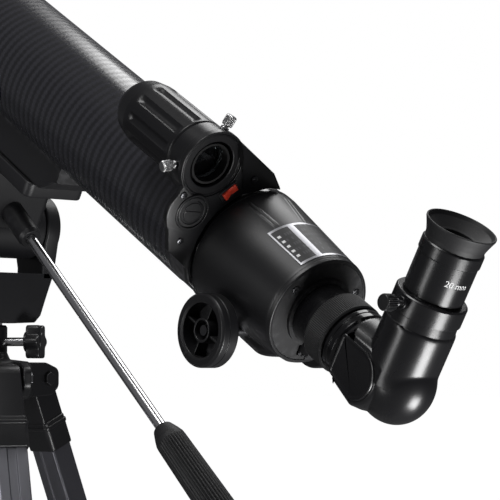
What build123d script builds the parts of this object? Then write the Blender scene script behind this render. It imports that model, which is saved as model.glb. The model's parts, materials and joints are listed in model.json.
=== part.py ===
from build123d import *
import math
import os

# A small altitude-azimuth refractor on a folding tripod, millimetres, +Z up.
# The tube points to +Y and is raised by ALTITUDE; left of the tube is -X.
# The origin is on the floor, in the middle of the outline seen from above.

# ---- pointing and placing ----
ALTITUDE = 31.5
PIVOT_HEIGHT = 660.0
PIVOT_AHEAD = 322.0
PIVOT_BELOW = 117.5

# ---- main tube and objective ----
TUBE_R = 38.5
TUBE_WALL = 1.2
TUBE_REAR = 69.2
TUBE_FRONT = 588.0
SHIELD_R = 44.5
SHIELD_WALL = 1.4
SHIELD_REAR = 566.0
SHIELD_FRONT = 642.0
LENS_R = 35.0
LENS_SEAT = 584.0

# ---- focuser housing ----
RIM_R = 33.0
HOUSING_R = 39.4
HOUSING_FRONT = 69.0
HOUSING_WALL = 2.6
LABEL_REAR = 5.0
LABEL_FRONT = 37.0
LABEL_MID_ANGLE = 10.0
LABEL_SWEEP = 58.0

# ---- drawtube, rack and pinion ----
DRAW_R = 18.6
DRAW_BORE_R = 16.25
DRAW_FRONT = 96.0
DRAW_REAR = -23.0
DRAW_RING_R = 21.4
DRAW_RING_FRONT = -15.5
DRAW_RING_REAR = -31.0
RACK_PITCH_Y = -26.0
PINION_TEETH = 12
PINION_MODULE = 1.0
PINION_PITCH_R = PINION_TEETH * PINION_MODULE / 2
TOOTH_PITCH = math.pi * PINION_MODULE
TOOTH_WIDTH = 1.05
PINION_Y = RACK_PITCH_Y - PINION_PITCH_R
PINION_Z = 33.0
SHAFT_R = 3.0
SHAFT_HALF = 46.0
KNOB_R = 21.0
KNOB_INNER_X = 37.0
KNOB_THICK = 11.8

# ---- diagonal and eyepiece (31.75 mm fittings) ----
NOSE_R = 15.875
FIT = 0.08
ELBOW_Z = -71.5
ELBOW_R = 21.0
BALL_R = 24.0
STEM_R = 20.0
FLAT_X = 19.4
CHEEK_AHEAD = 11.5
CHEEK_DROP = 3.0
CHEEK_R = 21.5
CHEEK_TAPER = 11.0
COVER_FACE_R = 15.5
SOCKET_TOP = 52.0
SOCKET_R = 20.0
SCREW_Y = 46.5
EYEPIECE_TOP = 92.7
EYEPIECE_BODY_R = 17.2
EYECUP_R = 19.4

# ---- finder ----
FINDER_X = 49.0
FINDER_Y = 52.0
FINDER_REAR = 71.0
FINDER_FRONT = 150.0
FINDER_R = 19.5
FINDER_COLLAR = 15.0
FINDER_TUBE_R = 12.5
FINDER_SCREW_ANGLES = {"finder_screw_top": -16.0, "finder_screw_left": 104.0}
PLUNGER_ANGLE = 224.0
BRACKET_REAR = 70.0
BRACKET_THICK = 4.0
CELL_X = 51.6
CELL_Y = 22.7
CELL_R = 8.0
COVER_R = 9.4
SWITCH_X = 30.9
SWITCH_Y = 37.4
SWITCH_TURN = 131.0
SWITCH_PIN_R = 0.9

# ---- mount head and pan handle ----
CHEEK_IN = 33.0
CHEEK_OUT = 44.0
DISC_R = 23.0
HEAD_BOTTOM = -67.0
HEAD_HALF_DEPTH = 16.0
AXLE_R = 6.0
HANDLE_DOWN = 40.6
HANDLE_BACK = 51.0
HANDLE_DROP = 12.2
HANDLE_SOCKET = 46.0
HANDLE_ROD_R = 3.6
HANDLE_ROD = 190.0
GRIP_R = 11.0
GRIP_LENGTH = 96.0

# ---- tripod ----
POST_R = 9.0
CROWN_TOP = -69.0
HUB_TOP = -94.0
HUB_BOTTOM = -120.0
HUB_R = 30.0
LOCK_ANGLE = -50.0
LOCK_Z = -80.5
LEG_ANGLES = (-110.0, 10.0, 130.0)
LEG_SPREAD = 23.0
HINGE_REACH = 40.0
HINGE_DROP = 106.0
HINGE_R = 3.0
LEG_WIDTH = 22.0
LEG_DEPTH = 18.0
LEG_WALL = 1.6
FOOT_R = 12.0
FOOT_CENTRE = 10.0

# ---- places worked out from the sizes above ----
SIN = math.sin(math.radians(ALTITUDE))
COS = math.cos(math.radians(ALTITUDE))
HINGE_Z = PIVOT_HEIGHT - HINGE_DROP
LEG_LENGTH = (HINGE_Z - FOOT_CENTRE) / math.cos(math.radians(LEG_SPREAD))
FOOT_REACH = HINGE_REACH + LEG_LENGTH * math.sin(math.radians(LEG_SPREAD))
FRONT_Y = (SHIELD_FRONT - PIVOT_AHEAD) * COS + (SHIELD_R - PIVOT_BELOW) * SIN
REAR_Y = (ELBOW_Z - EYECUP_R - PIVOT_AHEAD) * COS - (EYEPIECE_TOP + PIVOT_BELOW) * SIN
COLUMN_Y = -(FRONT_Y + REAR_Y) / 2
SIDE_COS = [math.cos(math.radians(angle)) for angle in LEG_ANGLES]
COLUMN_X = -FOOT_REACH * (max(SIDE_COS) + min(SIDE_COS)) / 2

WAYS = {
    "front": ((1, 0, 0), (0, 0, 1)),
    "rear": ((-1, 0, 0), (0, 0, -1)),
    "left": ((0, 0, -1), (1, 0, 0)),
    "right": ((0, 0, 1), (-1, 0, 0)),
    "up": ((1, 0, 0), (0, 1, 0)),
    "down": ((1, 0, 0), (0, -1, 0)),
}


def at(base, x=0.0, y=0.0, z=0.0, way="front"):
    """A plane at a point of the base plane's own frame, facing one of its six ways."""
    x_dir, z_dir = WAYS[way]
    corner = base.from_local_coords(Vector(x, y, z))
    along = base.from_local_coords(Vector(*x_dir)) - base.origin
    facing = base.from_local_coords(Vector(*z_dir)) - base.origin
    return Plane(origin=corner, x_dir=along, z_dir=facing)


def spun(base, angle):
    """The base plane turned about its own normal, by an angle in degrees."""
    turn_by = math.radians(angle)
    x_dir = base.x_dir * math.cos(turn_by) + base.y_dir * math.sin(turn_by)
    return Plane(origin=base.origin, x_dir=x_dir, z_dir=base.z_dir)


def turn(section, *points, mode=Mode.ADD):
    """A solid of revolution about the section's X axis; each point is (along, radius)."""
    with BuildSketch(section) as profile:
        with BuildLine():
            Polyline(*points, close=True)
        make_face()
    revolve(profile.sketch, axis=Axis(section.origin, section.x_dir), mode=mode)


def ring(plane, outer, inner, length, mode=Mode.ADD):
    """A plain tube that stands on the plane."""
    with BuildSketch(plane) as profile:
        Circle(outer)
        if inner > 0:
            Circle(inner, mode=Mode.SUBTRACT)
    extrude(profile.sketch, amount=length, mode=mode)


def block(plane, width, height, length, mode=Mode.ADD):
    """A rectangular block that stands on the plane."""
    with BuildSketch(plane) as profile:
        Rectangle(width, height)
    extrude(profile.sketch, amount=length, mode=mode)


def save(piece, name):
    """Label a finished piece and write it under its own name."""
    piece.part.label = name
    export_step(piece.part, "parts/" + name + ".step")


os.makedirs("parts", exist_ok=True)

# The pivot plane is upright; the tube plane has x to the left, y up and z forward.
pivot = Plane(origin=(COLUMN_X, COLUMN_Y, PIVOT_HEIGHT), x_dir=(1, 0, 0), z_dir=(0, 0, 1))
tube_pivot = Plane(origin=pivot.origin, x_dir=(-1, 0, 0), z_dir=(0, COS, SIN))
tube = at(tube_pivot, 0, PIVOT_BELOW, -PIVOT_AHEAD)
section = at(tube, way="right")


# ======== optical tube ========

with BuildPart() as main_tube:
    ring(at(tube, z=TUBE_REAR), TUBE_R, TUBE_R - TUBE_WALL, TUBE_FRONT - TUBE_REAR)
save(main_tube, "main_tube")

CELL_OUT_R = SHIELD_R - SHIELD_WALL - 0.05
with BuildPart() as objective_cell:
    turn(
        section,
        (LENS_SEAT - 14, TUBE_R + 0.1),
        (LENS_SEAT + 4, TUBE_R + 0.1),
        (LENS_SEAT + 4, LENS_R - 2),
        (LENS_SEAT + 6, LENS_R - 2),
        (LENS_SEAT + 6, LENS_R + 0.1),
        (LENS_SEAT + 26, LENS_R + 0.1),
        (LENS_SEAT + 26, LENS_R + 3.5),
        (LENS_SEAT + 20, CELL_OUT_R),
        (LENS_SEAT - 14, CELL_OUT_R),
    )
save(objective_cell, "objective_cell")

with BuildPart() as dew_shield:
    turn(
        section,
        (SHIELD_REAR, SHIELD_R - SHIELD_WALL),
        (SHIELD_FRONT, SHIELD_R - SHIELD_WALL),
        (SHIELD_FRONT, SHIELD_R),
        (SHIELD_REAR + 3, SHIELD_R),
        (SHIELD_REAR, SHIELD_R - 1),
    )
save(dew_shield, "dew_shield")

FLINT_Z = LENS_SEAT + 6.1
CROWN_Z = FLINT_Z + 4.3
INNER_CURVE = 310.0
FRONT_CURVE = 430.0
CROWN_THICK = 9.0
with BuildPart() as objective_flint:
    ring(at(tube, z=FLINT_Z), LENS_R, 0, 8)
    with Locations(at(tube, z=CROWN_Z + INNER_CURVE)):
        Sphere(INNER_CURVE + 0.3, mode=Mode.SUBTRACT)
save(objective_flint, "objective_flint")

with BuildPart() as objective_crown:
    ring(at(tube, z=CROWN_Z - 1), LENS_R, 0, CROWN_THICK + 2)
    with Locations(at(tube, z=CROWN_Z + INNER_CURVE)):
        Sphere(INNER_CURVE, mode=Mode.INTERSECT)
    with Locations(at(tube, z=CROWN_Z + CROWN_THICK - FRONT_CURVE)):
        Sphere(FRONT_CURVE, mode=Mode.INTERSECT)
save(objective_crown, "objective_crown")

with BuildPart() as lens_ring:
    ring(at(tube, z=CROWN_Z + CROWN_THICK - 1), LENS_R, LENS_R - 2.5, 4)
save(lens_ring, "lens_ring")

# Knife-edge stops follow the light cone that narrows towards the drawtube.
with BuildPart() as tube_baffles:
    for stop in (180.0, 320.0, 460.0):
        ring(at(tube, z=stop), TUBE_R - TUBE_WALL - 0.1, 13 + 22 * stop / LENS_SEAT, 1.2)
        ring(at(tube, z=stop), TUBE_R - TUBE_WALL - 0.1, TUBE_R - TUBE_WALL - 1.4, 8)
save(tube_baffles, "tube_baffles")

with BuildPart() as rear_ring:
    turn(
        section,
        (HOUSING_FRONT + 0.1, TUBE_R + 0.1),
        (HOUSING_FRONT + 0.1, HOUSING_R),
        (HOUSING_FRONT + 4.5, HOUSING_R),
        (HOUSING_FRONT + 6, TUBE_R + 0.3),
        (HOUSING_FRONT + 6, TUBE_R + 0.1),
    )
save(rear_ring, "rear_ring")


# ======== focuser housing ========

SHAFT_CLEAR = SHAFT_R + 0.06
SPIGOT_R = TUBE_R - TUBE_WALL - 0.1
SPIGOT_FRONT = HOUSING_FRONT + 16
BOX_HALF = 14.0
BOX_BOTTOM = PINION_Y - 10.0
BOX_LENGTH = 50.0
with BuildPart() as focuser_housing:
    turn(
        section,
        (0, 0),
        (0, RIM_R),
        (HOUSING_FRONT, HOUSING_R),
        (HOUSING_FRONT, SPIGOT_R),
        (SPIGOT_FRONT, SPIGOT_R),
        (SPIGOT_FRONT, 0),
    )
    with BuildSketch(at(tube, z=0)) as gear_box_rear:
        with Locations((0, (BOX_BOTTOM - 20) / 2)):
            Rectangle(2 * BOX_HALF, -BOX_BOTTOM - 20)
    extrude(gear_box_rear.sketch, amount=BOX_LENGTH)
    low_edges = focuser_housing.edges().filter_by(Axis(tube.origin, tube.z_dir), tolerance=0.01)
    fillet(low_edges.group_by(Axis(tube.origin, tube.y_dir))[0], 4)
    turn(
        section,
        (3, 0),
        (3, RIM_R - HOUSING_WALL),
        (HOUSING_FRONT - 8, SPIGOT_R - 2),
        (SPIGOT_FRONT, SPIGOT_R - 2),
        (SPIGOT_FRONT, 0),
        mode=Mode.SUBTRACT,
    )
    turn(section, (-1, 0), (-1, RIM_R - 2), (3, RIM_R - 2), (3, 0), mode=Mode.SUBTRACT)
    block(at(tube, 0, PINION_Y + 2, 3), 2 * BOX_HALF - 4, 20, BOX_LENGTH - 5, mode=Mode.SUBTRACT)
    ring(at(tube, -40, PINION_Y, PINION_Z, "left"), SHAFT_CLEAR, 0, 80, mode=Mode.SUBTRACT)
save(focuser_housing, "focuser_housing")

with BuildPart() as rear_cover:
    ring(at(tube, z=0.4), RIM_R - 2.1, DRAW_R + 0.06, 2.5)
    ring(at(tube, z=-1.6), DRAW_R + 2.4, DRAW_R + 0.06, 2.2)
    block(at(tube, 0, RACK_PITCH_Y + 4, -2), 7.4, 12, 6, mode=Mode.SUBTRACT)
    with Locations(at(tube, z=-2)):
        with PolarLocations(RIM_R - 7, 3, start_angle=30):
            CounterBoreHole(1.4, 2.6, 3.2, depth=6)
save(rear_cover, "rear_cover")

LABEL_MID_R = RIM_R + (HOUSING_R - RIM_R) * (LABEL_REAR + LABEL_FRONT) / 2 / HOUSING_FRONT
LABEL_GROW = (HOUSING_R - RIM_R) / HOUSING_FRONT
with BuildPart() as spec_label:
    with BuildSketch(section) as label_section:
        with BuildLine():
            Polyline(
                (LABEL_REAR, RIM_R + LABEL_GROW * LABEL_REAR + 0.05),
                (LABEL_FRONT, RIM_R + LABEL_GROW * LABEL_FRONT + 0.05),
                (LABEL_FRONT, RIM_R + LABEL_GROW * LABEL_FRONT + 0.3),
                (LABEL_REAR, RIM_R + LABEL_GROW * LABEL_REAR + 0.3),
                close=True,
            )
        make_face()
    label_start = label_section.sketch.rotate(
        Axis(tube.origin, tube.z_dir), LABEL_SWEEP / 2 - LABEL_MID_ANGLE
    )
    revolve(label_start, axis=Axis(tube.origin, -tube.z_dir), revolution_arc=LABEL_SWEEP)
save(spec_label, "spec_label")


# ======== drawtube, rack and pinion ========

with BuildPart() as drawtube:
    ring(at(tube, z=DRAW_REAR), DRAW_R, DRAW_BORE_R, DRAW_FRONT - DRAW_REAR)
    ring(at(tube, z=DRAW_FRONT - 2), DRAW_R, DRAW_BORE_R - 3, 2)
    block(at(tube, 0, -DRAW_R - 0.5, -8), 6.2, 2.2, DRAW_FRONT + 9, mode=Mode.SUBTRACT)
save(drawtube, "drawtube")

RACK_TOP = -DRAW_R + 0.6
RACK_REAR = -8.0
RACK_TEETH = 32
with BuildPart() as focus_rack:
    rack_height = RACK_TOP - RACK_PITCH_Y - 1.1
    block(at(tube, 0, RACK_TOP - rack_height / 2, RACK_REAR), 6, rack_height, RACK_TEETH * TOOTH_PITCH)
    first_tooth = PINION_Z % TOOTH_PITCH - TOOTH_PITCH / 2
    tooth_places = [
        first_tooth + step * TOOTH_PITCH
        for step in range(-2, RACK_TEETH)
        if RACK_REAR + 1 < first_tooth + step * TOOTH_PITCH < RACK_REAR + RACK_TEETH * TOOTH_PITCH - 1
    ]
    for place in tooth_places:
        block(at(tube, 0, RACK_PITCH_Y + 1.2, place, "down"), 6, TOOTH_WIDTH, 2.0)
save(focus_rack, "focus_rack")

with BuildPart() as drawtube_ring:
    turn(
        section,
        (DRAW_RING_REAR, NOSE_R + FIT),
        (DRAW_REAR - 0.3, NOSE_R + FIT),
        (DRAW_REAR - 0.3, DRAW_R + FIT),
        (DRAW_RING_FRONT, DRAW_R + FIT),
        (DRAW_RING_FRONT, DRAW_RING_R - 0.8),
        (DRAW_RING_FRONT - 0.8, DRAW_RING_R),
        (DRAW_RING_REAR + 0.8, DRAW_RING_R),
        (DRAW_RING_REAR, DRAW_RING_R - 0.8),
    )
save(drawtube_ring, "drawtube_ring")

with BuildPart() as pinion_shaft:
    ring(at(tube, -SHAFT_HALF, PINION_Y, PINION_Z, "left"), SHAFT_R, 0, 2 * SHAFT_HALF)
    ring(at(tube, -4, PINION_Y, PINION_Z, "left"), PINION_PITCH_R - 1.2, 0, 8)
    for tooth in range(PINION_TEETH):
        tooth_plane = spun(at(tube, -4, PINION_Y, PINION_Z, "left"), 90 + tooth * 360 / PINION_TEETH)
        tooth_middle = tooth_plane.from_local_coords(Vector(PINION_PITCH_R - 0.6, 0, 0))
        block(
            Plane(origin=tooth_middle, x_dir=tooth_plane.x_dir, z_dir=tooth_plane.z_dir),
            2.8,
            TOOTH_WIDTH,
            8,
        )
save(pinion_shaft, "pinion_shaft")


def focus_knob(side):
    """A dished hand wheel with a deep rim, four spokes and a hub; side is 'left' or 'right'."""
    sign = 1 if side == "left" else -1
    base = at(tube, sign * KNOB_INNER_X, PINION_Y, PINION_Z, side)
    with BuildPart() as knob:
        ring(base, KNOB_R, KNOB_R - 4.2, KNOB_THICK)
        ring(base, KNOB_R - 1, 0, 2.6)
        ring(base, 6.2, 0, KNOB_THICK - 1.5)
        for spoke in range(4):
            arm = spun(base, 45 + 90 * spoke)
            middle = arm.from_local_coords(Vector(KNOB_R / 2 + 0.5, 0, 0))
            block(Plane(origin=middle, x_dir=arm.x_dir, z_dir=arm.z_dir), KNOB_R - 7, 2.2, KNOB_THICK - 4)
        ring(at(base, z=-1), SHAFT_R + 0.03, 0, SHAFT_HALF - KNOB_INNER_X + 1.1, mode=Mode.SUBTRACT)
    return knob


for side in ("left", "right"):
    save(focus_knob(side), "focus_knob_" + side)


# ======== diagonal ========

elbow = at(tube, z=ELBOW_Z)
elbow_side = at(elbow, way="right")
elbow_up = Plane(origin=elbow.origin, x_dir=elbow.y_dir, z_dir=elbow.x_dir)

NOSE_FRONT = 0.0
FLANGE_FRONT = DRAW_RING_REAR - 1.2
FLANGE_REAR = -41.0
with BuildPart() as diagonal_nose:
    turn(
        section,
        (FLANGE_REAR, 13.6),
        (NOSE_FRONT, 13.6),
        (NOSE_FRONT, NOSE_R - 0.6),
        (NOSE_FRONT - 0.6, NOSE_R),
        (FLANGE_FRONT, NOSE_R),
        (FLANGE_FRONT, 20.2),
        (FLANGE_FRONT - 1, 20.8),
        (FLANGE_REAR + 1.5, 20.8),
        (FLANGE_REAR, 19.0),
    )
save(diagonal_nose, "diagonal_nose")

INNER_R = 15.0
with BuildPart() as diagonal_body:
    ring(at(tube, z=FLANGE_REAR - 0.1, way="rear"), ELBOW_R, 0, FLANGE_REAR - 0.1 - ELBOW_Z)
    ring(at(elbow, way="up"), STEM_R, 0, 30)
    with Locations(elbow):
        Sphere(BALL_R)
    with BuildSketch(at(elbow, way="left")) as cheek:
        with Locations((-CHEEK_AHEAD, -CHEEK_DROP)):
            Circle(CHEEK_R)
        with Locations((-CHEEK_AHEAD - 9.4, -CHEEK_DROP)):
            Rectangle(18.8, 2 * CHEEK_R)
        with Locations((ELBOW_Z - FLANGE_REAR - 9.8, 0)):
            Rectangle(20, 80, mode=Mode.SUBTRACT)
    extrude(cheek.sketch, amount=FLAT_X, taper=CHEEK_TAPER)
    ring(at(elbow, y=26, way="up"), SOCKET_R - 1.2, 0, 15)
    ring(at(elbow, y=41, way="up"), SOCKET_R, 0, SOCKET_TOP - 41)
    ring(at(elbow, SOCKET_R - 3, SCREW_Y, 0, "left"), 3.6, 0, 4.2)
    block(at(elbow, FLAT_X + 10, -8, -30), 20, 68, 80, mode=Mode.SUBTRACT)
    ring(at(tube, z=FLANGE_REAR + 1, way="rear"), INNER_R, 0, FLANGE_REAR + 1 - ELBOW_Z, mode=Mode.SUBTRACT)
    ring(at(elbow, way="up"), INNER_R, 0, 31, mode=Mode.SUBTRACT)
    with Locations(elbow):
        Sphere(BALL_R - 4.4, mode=Mode.SUBTRACT)
    ring(at(elbow, y=22, way="up"), NOSE_R + FIT, 0, SOCKET_TOP - 21, mode=Mode.SUBTRACT)
    ring(at(elbow, SOCKET_R - 6, SCREW_Y, 0, "left"), 1.56, 0, 12, mode=Mode.SUBTRACT)
save(diagonal_body, "diagonal_body")

with BuildPart() as diagonal_cover:
    with BuildSketch(at(elbow, FLAT_X + 0.1, 0, 0, "left")) as cover_face:
        with Locations((-CHEEK_AHEAD, -CHEEK_DROP)):
            Circle(COVER_FACE_R)
        with Locations((-CHEEK_AHEAD - 8, -CHEEK_DROP)):
            Rectangle(16, 2 * COVER_FACE_R)
    extrude(cover_face.sketch, amount=0.8)
save(diagonal_cover, "diagonal_cover")

with BuildPart() as diagonal_mirror:
    mirror_plane = Plane(
        origin=elbow.from_local_coords(Vector(0, -5.0, -5.0)),
        x_dir=elbow.x_dir,
        z_dir=-(elbow.y_dir + elbow.z_dir),
    )
    block(mirror_plane, 20, 26, 3)
save(diagonal_mirror, "diagonal_mirror")

with BuildPart() as diagonal_screw:
    screw = at(elbow, NOSE_R + 0.15, SCREW_Y, 0, "left")
    ring(screw, 1.5, 0, 8.5)
    ring(at(screw, z=6.8), 2.2, 0, 4)
    ring(at(screw, z=10.5), 4.6, 0, 7.2)
save(diagonal_screw, "diagonal_screw")


# ======== eyepiece ========

with BuildPart() as eyepiece_barrel:
    ring(at(elbow, y=26, way="up"), NOSE_R, NOSE_R - 1.2, SOCKET_TOP - 26 + 2.4)
save(eyepiece_barrel, "eyepiece_barrel")

BODY_BOTTOM = SOCKET_TOP + 0.3
with BuildPart() as eyepiece_body:
    turn(
        elbow_up,
        (BODY_BOTTOM, NOSE_R + 0.05),
        (BODY_BOTTOM, EYEPIECE_BODY_R - 0.8),
        (BODY_BOTTOM + 0.8, EYEPIECE_BODY_R),
        (EYEPIECE_TOP - 12.5, EYEPIECE_BODY_R),
        (EYEPIECE_TOP - 11.5, EYEPIECE_BODY_R - 1.2),
        (EYEPIECE_TOP - 6.5, EYEPIECE_BODY_R - 1.2),
        (EYEPIECE_TOP - 6.5, 9),
        (BODY_BOTTOM + 2.6, 9),
        (BODY_BOTTOM + 2.6, NOSE_R + 0.05),
    )
save(eyepiece_body, "eyepiece_body")

with BuildPart() as eyepiece_lenses:
    ring(at(elbow, y=SOCKET_TOP + 6, way="up"), 8.9, 0, 7)
    ring(at(elbow, y=SOCKET_TOP + 16, way="up"), 8.9, 0, 5)
save(eyepiece_lenses, "eyepiece_lenses")

with BuildPart() as eyecup:
    turn(
        elbow_up,
        (EYEPIECE_TOP - 11.2, EYEPIECE_BODY_R - 1.1),
        (EYEPIECE_TOP - 11.2, EYEPIECE_BODY_R - 0.2),
        (EYEPIECE_TOP - 6.5, EYEPIECE_BODY_R - 0.4),
        (EYEPIECE_TOP - 1.2, EYECUP_R),
        (EYEPIECE_TOP, EYECUP_R),
        (EYEPIECE_TOP, EYECUP_R - 1.6),
        (EYEPIECE_TOP - 5.2, 9.6),
        (EYEPIECE_TOP - 6.4, 9.6),
        (EYEPIECE_TOP - 6.4, EYEPIECE_BODY_R - 1.1),
    )
save(eyecup, "eyecup")


# ======== finder ========

finder = at(tube, FINDER_X, FINDER_Y, 0)
finder_section = at(finder, way="right")

with BuildPart() as finder_shell:
    turn(
        finder_section,
        (FINDER_REAR + FINDER_COLLAR + 0.1, FINDER_TUBE_R + 3.2),
        (FINDER_REAR + FINDER_COLLAR + 0.1, FINDER_R - 0.8),
        (FINDER_FRONT - 16, FINDER_R - 0.2),
        (FINDER_FRONT - 5, FINDER_R - 2),
        (FINDER_FRONT, FINDER_R - 5.5),
        (FINDER_FRONT, FINDER_TUBE_R + 0.5),
        (FINDER_FRONT - 5, FINDER_TUBE_R + 0.5),
        (FINDER_FRONT - 5, FINDER_TUBE_R + 3.2),
    )
    for flute in range(10):
        groove = spun(at(finder, z=FINDER_REAR + FINDER_COLLAR + 4), 36 * flute)
        centre = groove.from_local_coords(Vector(FINDER_R + 2.6, 0, 0))
        ring(Plane(origin=centre, x_dir=groove.x_dir, z_dir=groove.z_dir), 4.0, 0, 40, mode=Mode.SUBTRACT)
save(finder_shell, "finder_shell")

with BuildPart() as finder_collar:
    turn(
        finder_section,
        (FINDER_REAR, FINDER_TUBE_R + 1.6),
        (FINDER_REAR, FINDER_R - 0.8),
        (FINDER_REAR + 0.8, FINDER_R),
        (FINDER_REAR + FINDER_COLLAR, FINDER_R),
        (FINDER_REAR + FINDER_COLLAR, FINDER_TUBE_R + 3.2),
        (FINDER_REAR + 4, FINDER_TUBE_R + 3.2),
        (FINDER_REAR + 2.5, FINDER_TUBE_R + 1.6),
    )
    screw_z = FINDER_REAR + FINDER_COLLAR / 2
    for angle in [*FINDER_SCREW_ANGLES.values(), PLUNGER_ANGLE]:
        bore = at(spun(at(finder, z=screw_z), -angle), way="up")
        ring(bore, 1.56, 0, FINDER_R + 2, mode=Mode.SUBTRACT)
save(finder_collar, "finder_collar")

for name, angle in FINDER_SCREW_ANGLES.items():
    radial = at(spun(at(finder, z=FINDER_REAR + FINDER_COLLAR / 2), -angle), way="up")
    with BuildPart() as finder_screw:
        ring(at(radial, z=FINDER_TUBE_R + 0.35), 1.5, 0, 12)
        ring(at(radial, z=FINDER_R + 2.6), 3.2, 0, 6.6)
    save(finder_screw, name)

with BuildPart() as finder_plunger:
    radial = at(spun(at(finder, z=FINDER_REAR + FINDER_COLLAR / 2), -PLUNGER_ANGLE), way="up")
    ring(at(radial, z=FINDER_TUBE_R + 0.35), 1.5, 0, 6.4)
save(finder_plunger, "finder_plunger")

with BuildPart() as finder_tube:
    turn(
        finder_section,
        (FINDER_REAR + 1.5, FINDER_TUBE_R - 1.4),
        (FINDER_REAR + 1.5, FINDER_TUBE_R),
        (FINDER_FRONT - 2, FINDER_TUBE_R),
        (FINDER_FRONT - 2, FINDER_TUBE_R - 1.4),
    )
save(finder_tube, "finder_tube")

with BuildPart() as finder_lenses:
    ring(at(finder, z=FINDER_REAR + 7), FINDER_TUBE_R - 1.45, 0, 2.4)
    ring(at(finder, z=FINDER_FRONT - 9), FINDER_TUBE_R - 1.45, 0, 3)
save(finder_lenses, "finder_lenses")


# ======== finder bracket with battery bay and switch ========

ARCH_R = TUBE_R + 2.6
with BuildPart() as finder_bracket:
    with BuildSketch(at(tube, z=BRACKET_REAR)) as plate:
        with Locations((FINDER_X, FINDER_Y)):
            Circle(FINDER_R + 1.4)
        with Locations((CELL_X, CELL_Y)):
            Circle(17)
        with BuildLine():
            Polyline(
                (FINDER_X - 8, FINDER_Y + 18.5),
                (3.5, 51.0),
                (-5.5, 41.2),
                (12, 32),
                (26, 6),
                (33, -24),
                (41, -13),
                (58, -4),
                (FINDER_X + 20, FINDER_Y - 14),
                close=True,
            )
        make_face()
        Circle(ARCH_R, mode=Mode.SUBTRACT)
        with Locations((FINDER_X, FINDER_Y)):
            Circle(FINDER_R + 0.05, mode=Mode.SUBTRACT)
    extrude(plate.sketch, amount=BRACKET_THICK)
    with BuildSketch(at(tube, z=BRACKET_REAR + BRACKET_THICK)) as saddle_foot:
        with Locations((FINDER_X * 0.7, FINDER_Y * 0.7)):
            Rectangle(24, 24, rotation=-45)
        Circle(HOUSING_R + 0.1, mode=Mode.SUBTRACT)
        with Locations((FINDER_X, FINDER_Y)):
            Circle(FINDER_R + 0.05, mode=Mode.SUBTRACT)
    extrude(saddle_foot.sketch, amount=46)
    with BuildSketch(at(tube, z=BRACKET_REAR + BRACKET_THICK)) as battery_bay:
        with Locations((CELL_X, CELL_Y)):
            Circle(COVER_R + 2)
        Circle(HOUSING_R + 0.1, mode=Mode.SUBTRACT)
        with Locations((FINDER_X, FINDER_Y)):
            Circle(FINDER_R + 0.05, mode=Mode.SUBTRACT)
    extrude(battery_bay.sketch, amount=6)
    ring(at(tube, CELL_X, CELL_Y, BRACKET_REAR - 1), COVER_R + 0.2, 0, 8, mode=Mode.SUBTRACT)
    plunger_bore = at(spun(at(finder, z=FINDER_REAR + FINDER_COLLAR / 2), -PLUNGER_ANGLE), way="up")
    ring(plunger_bore, 1.56, 0, FINDER_R + 3, mode=Mode.SUBTRACT)
    switch_pocket = spun(at(tube, SWITCH_X, SWITCH_Y, BRACKET_REAR - 1), SWITCH_TURN)
    block(switch_pocket, 11, 5.4, 7, mode=Mode.SUBTRACT)
    switch_side = at(spun(at(tube, SWITCH_X, SWITCH_Y, BRACKET_REAR + 2.4), SWITCH_TURN), way="down")
    ring(at(switch_side, z=-3.4), SWITCH_PIN_R + 0.06, 0, 6.8, mode=Mode.SUBTRACT)
save(finder_bracket, "finder_bracket")

with BuildPart() as battery_cell:
    ring(at(tube, CELL_X, CELL_Y, BRACKET_REAR + 3.2), CELL_R, 0, 3.2)
save(battery_cell, "battery_cell")

with BuildPart() as battery_cover:
    ring(at(tube, CELL_X, CELL_Y, BRACKET_REAR - 0.6), COVER_R, 0, 3.4)
    block(at(tube, CELL_X, CELL_Y, BRACKET_REAR - 1), 12, 1.8, 1.4, mode=Mode.SUBTRACT)
save(battery_cover, "battery_cover")

with BuildPart() as power_switch:
    with BuildSketch(switch_side) as rocker:
        with BuildLine():
            Polyline((-4.8, 2.4), (4.8, 2.4), (4.8, -3.6), (0, -1.8), (-4.8, -4.6), close=True)
        make_face()
    extrude(rocker.sketch, amount=2.3, both=True)
    ring(at(switch_side, z=-3.3), SWITCH_PIN_R, 0, 6.6)
save(power_switch, "power_switch")

# Pan-head screws: three on the bracket plate, four under the tube saddle.
with BuildPart() as small_screws:
    for x, y in ((16.4, 45.9), (61.9, 32.7), (52.8, 4.2)):
        ring(at(tube, x, y, BRACKET_REAR - 0.1, "rear"), 2.1, 0, 1.1)
    for x in (-15, 15):
        for z in (PIVOT_AHEAD - 48, PIVOT_AHEAD + 48):
            ring(at(tube, x, -66.6, z, "down"), 3, 0, 2.4)
save(small_screws, "small_screws")


# ======== saddle, tilt block and pan handle ========

SADDLE_TOP = -30.0
SADDLE_FOOT = -56.0
SADDLE_REAR = 238.0
SADDLE_FRONT = 402.0
with BuildPart() as tube_saddle:
    with BuildSketch(at(tube, x=-21, way="left")) as saddle_side:
        with BuildLine():
            Polyline(
                (-SADDLE_REAR, SADDLE_TOP),
                (-SADDLE_REAR, -44.5),
                (-SADDLE_REAR - 20, SADDLE_FOOT),
                (-SADDLE_FRONT + 20, SADDLE_FOOT),
                (-SADDLE_FRONT, -44.5),
                (-SADDLE_FRONT, SADDLE_TOP),
                close=True,
            )
        make_face()
    extrude(saddle_side.sketch, amount=42)
    ring(at(tube, z=SADDLE_REAR - 5), TUBE_R + 0.1, 0, SADDLE_FRONT - SADDLE_REAR + 10, mode=Mode.SUBTRACT)
save(tube_saddle, "tube_saddle")

handle_dir = Vector(0, -math.cos(math.radians(HANDLE_DOWN)), -math.sin(math.radians(HANDLE_DOWN)))
handle_mouth = pivot.origin + Vector(0, -HANDLE_BACK, -HANDLE_DROP)
handle = Plane(origin=handle_mouth, x_dir=(1, 0, 0), z_dir=handle_dir)

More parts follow.
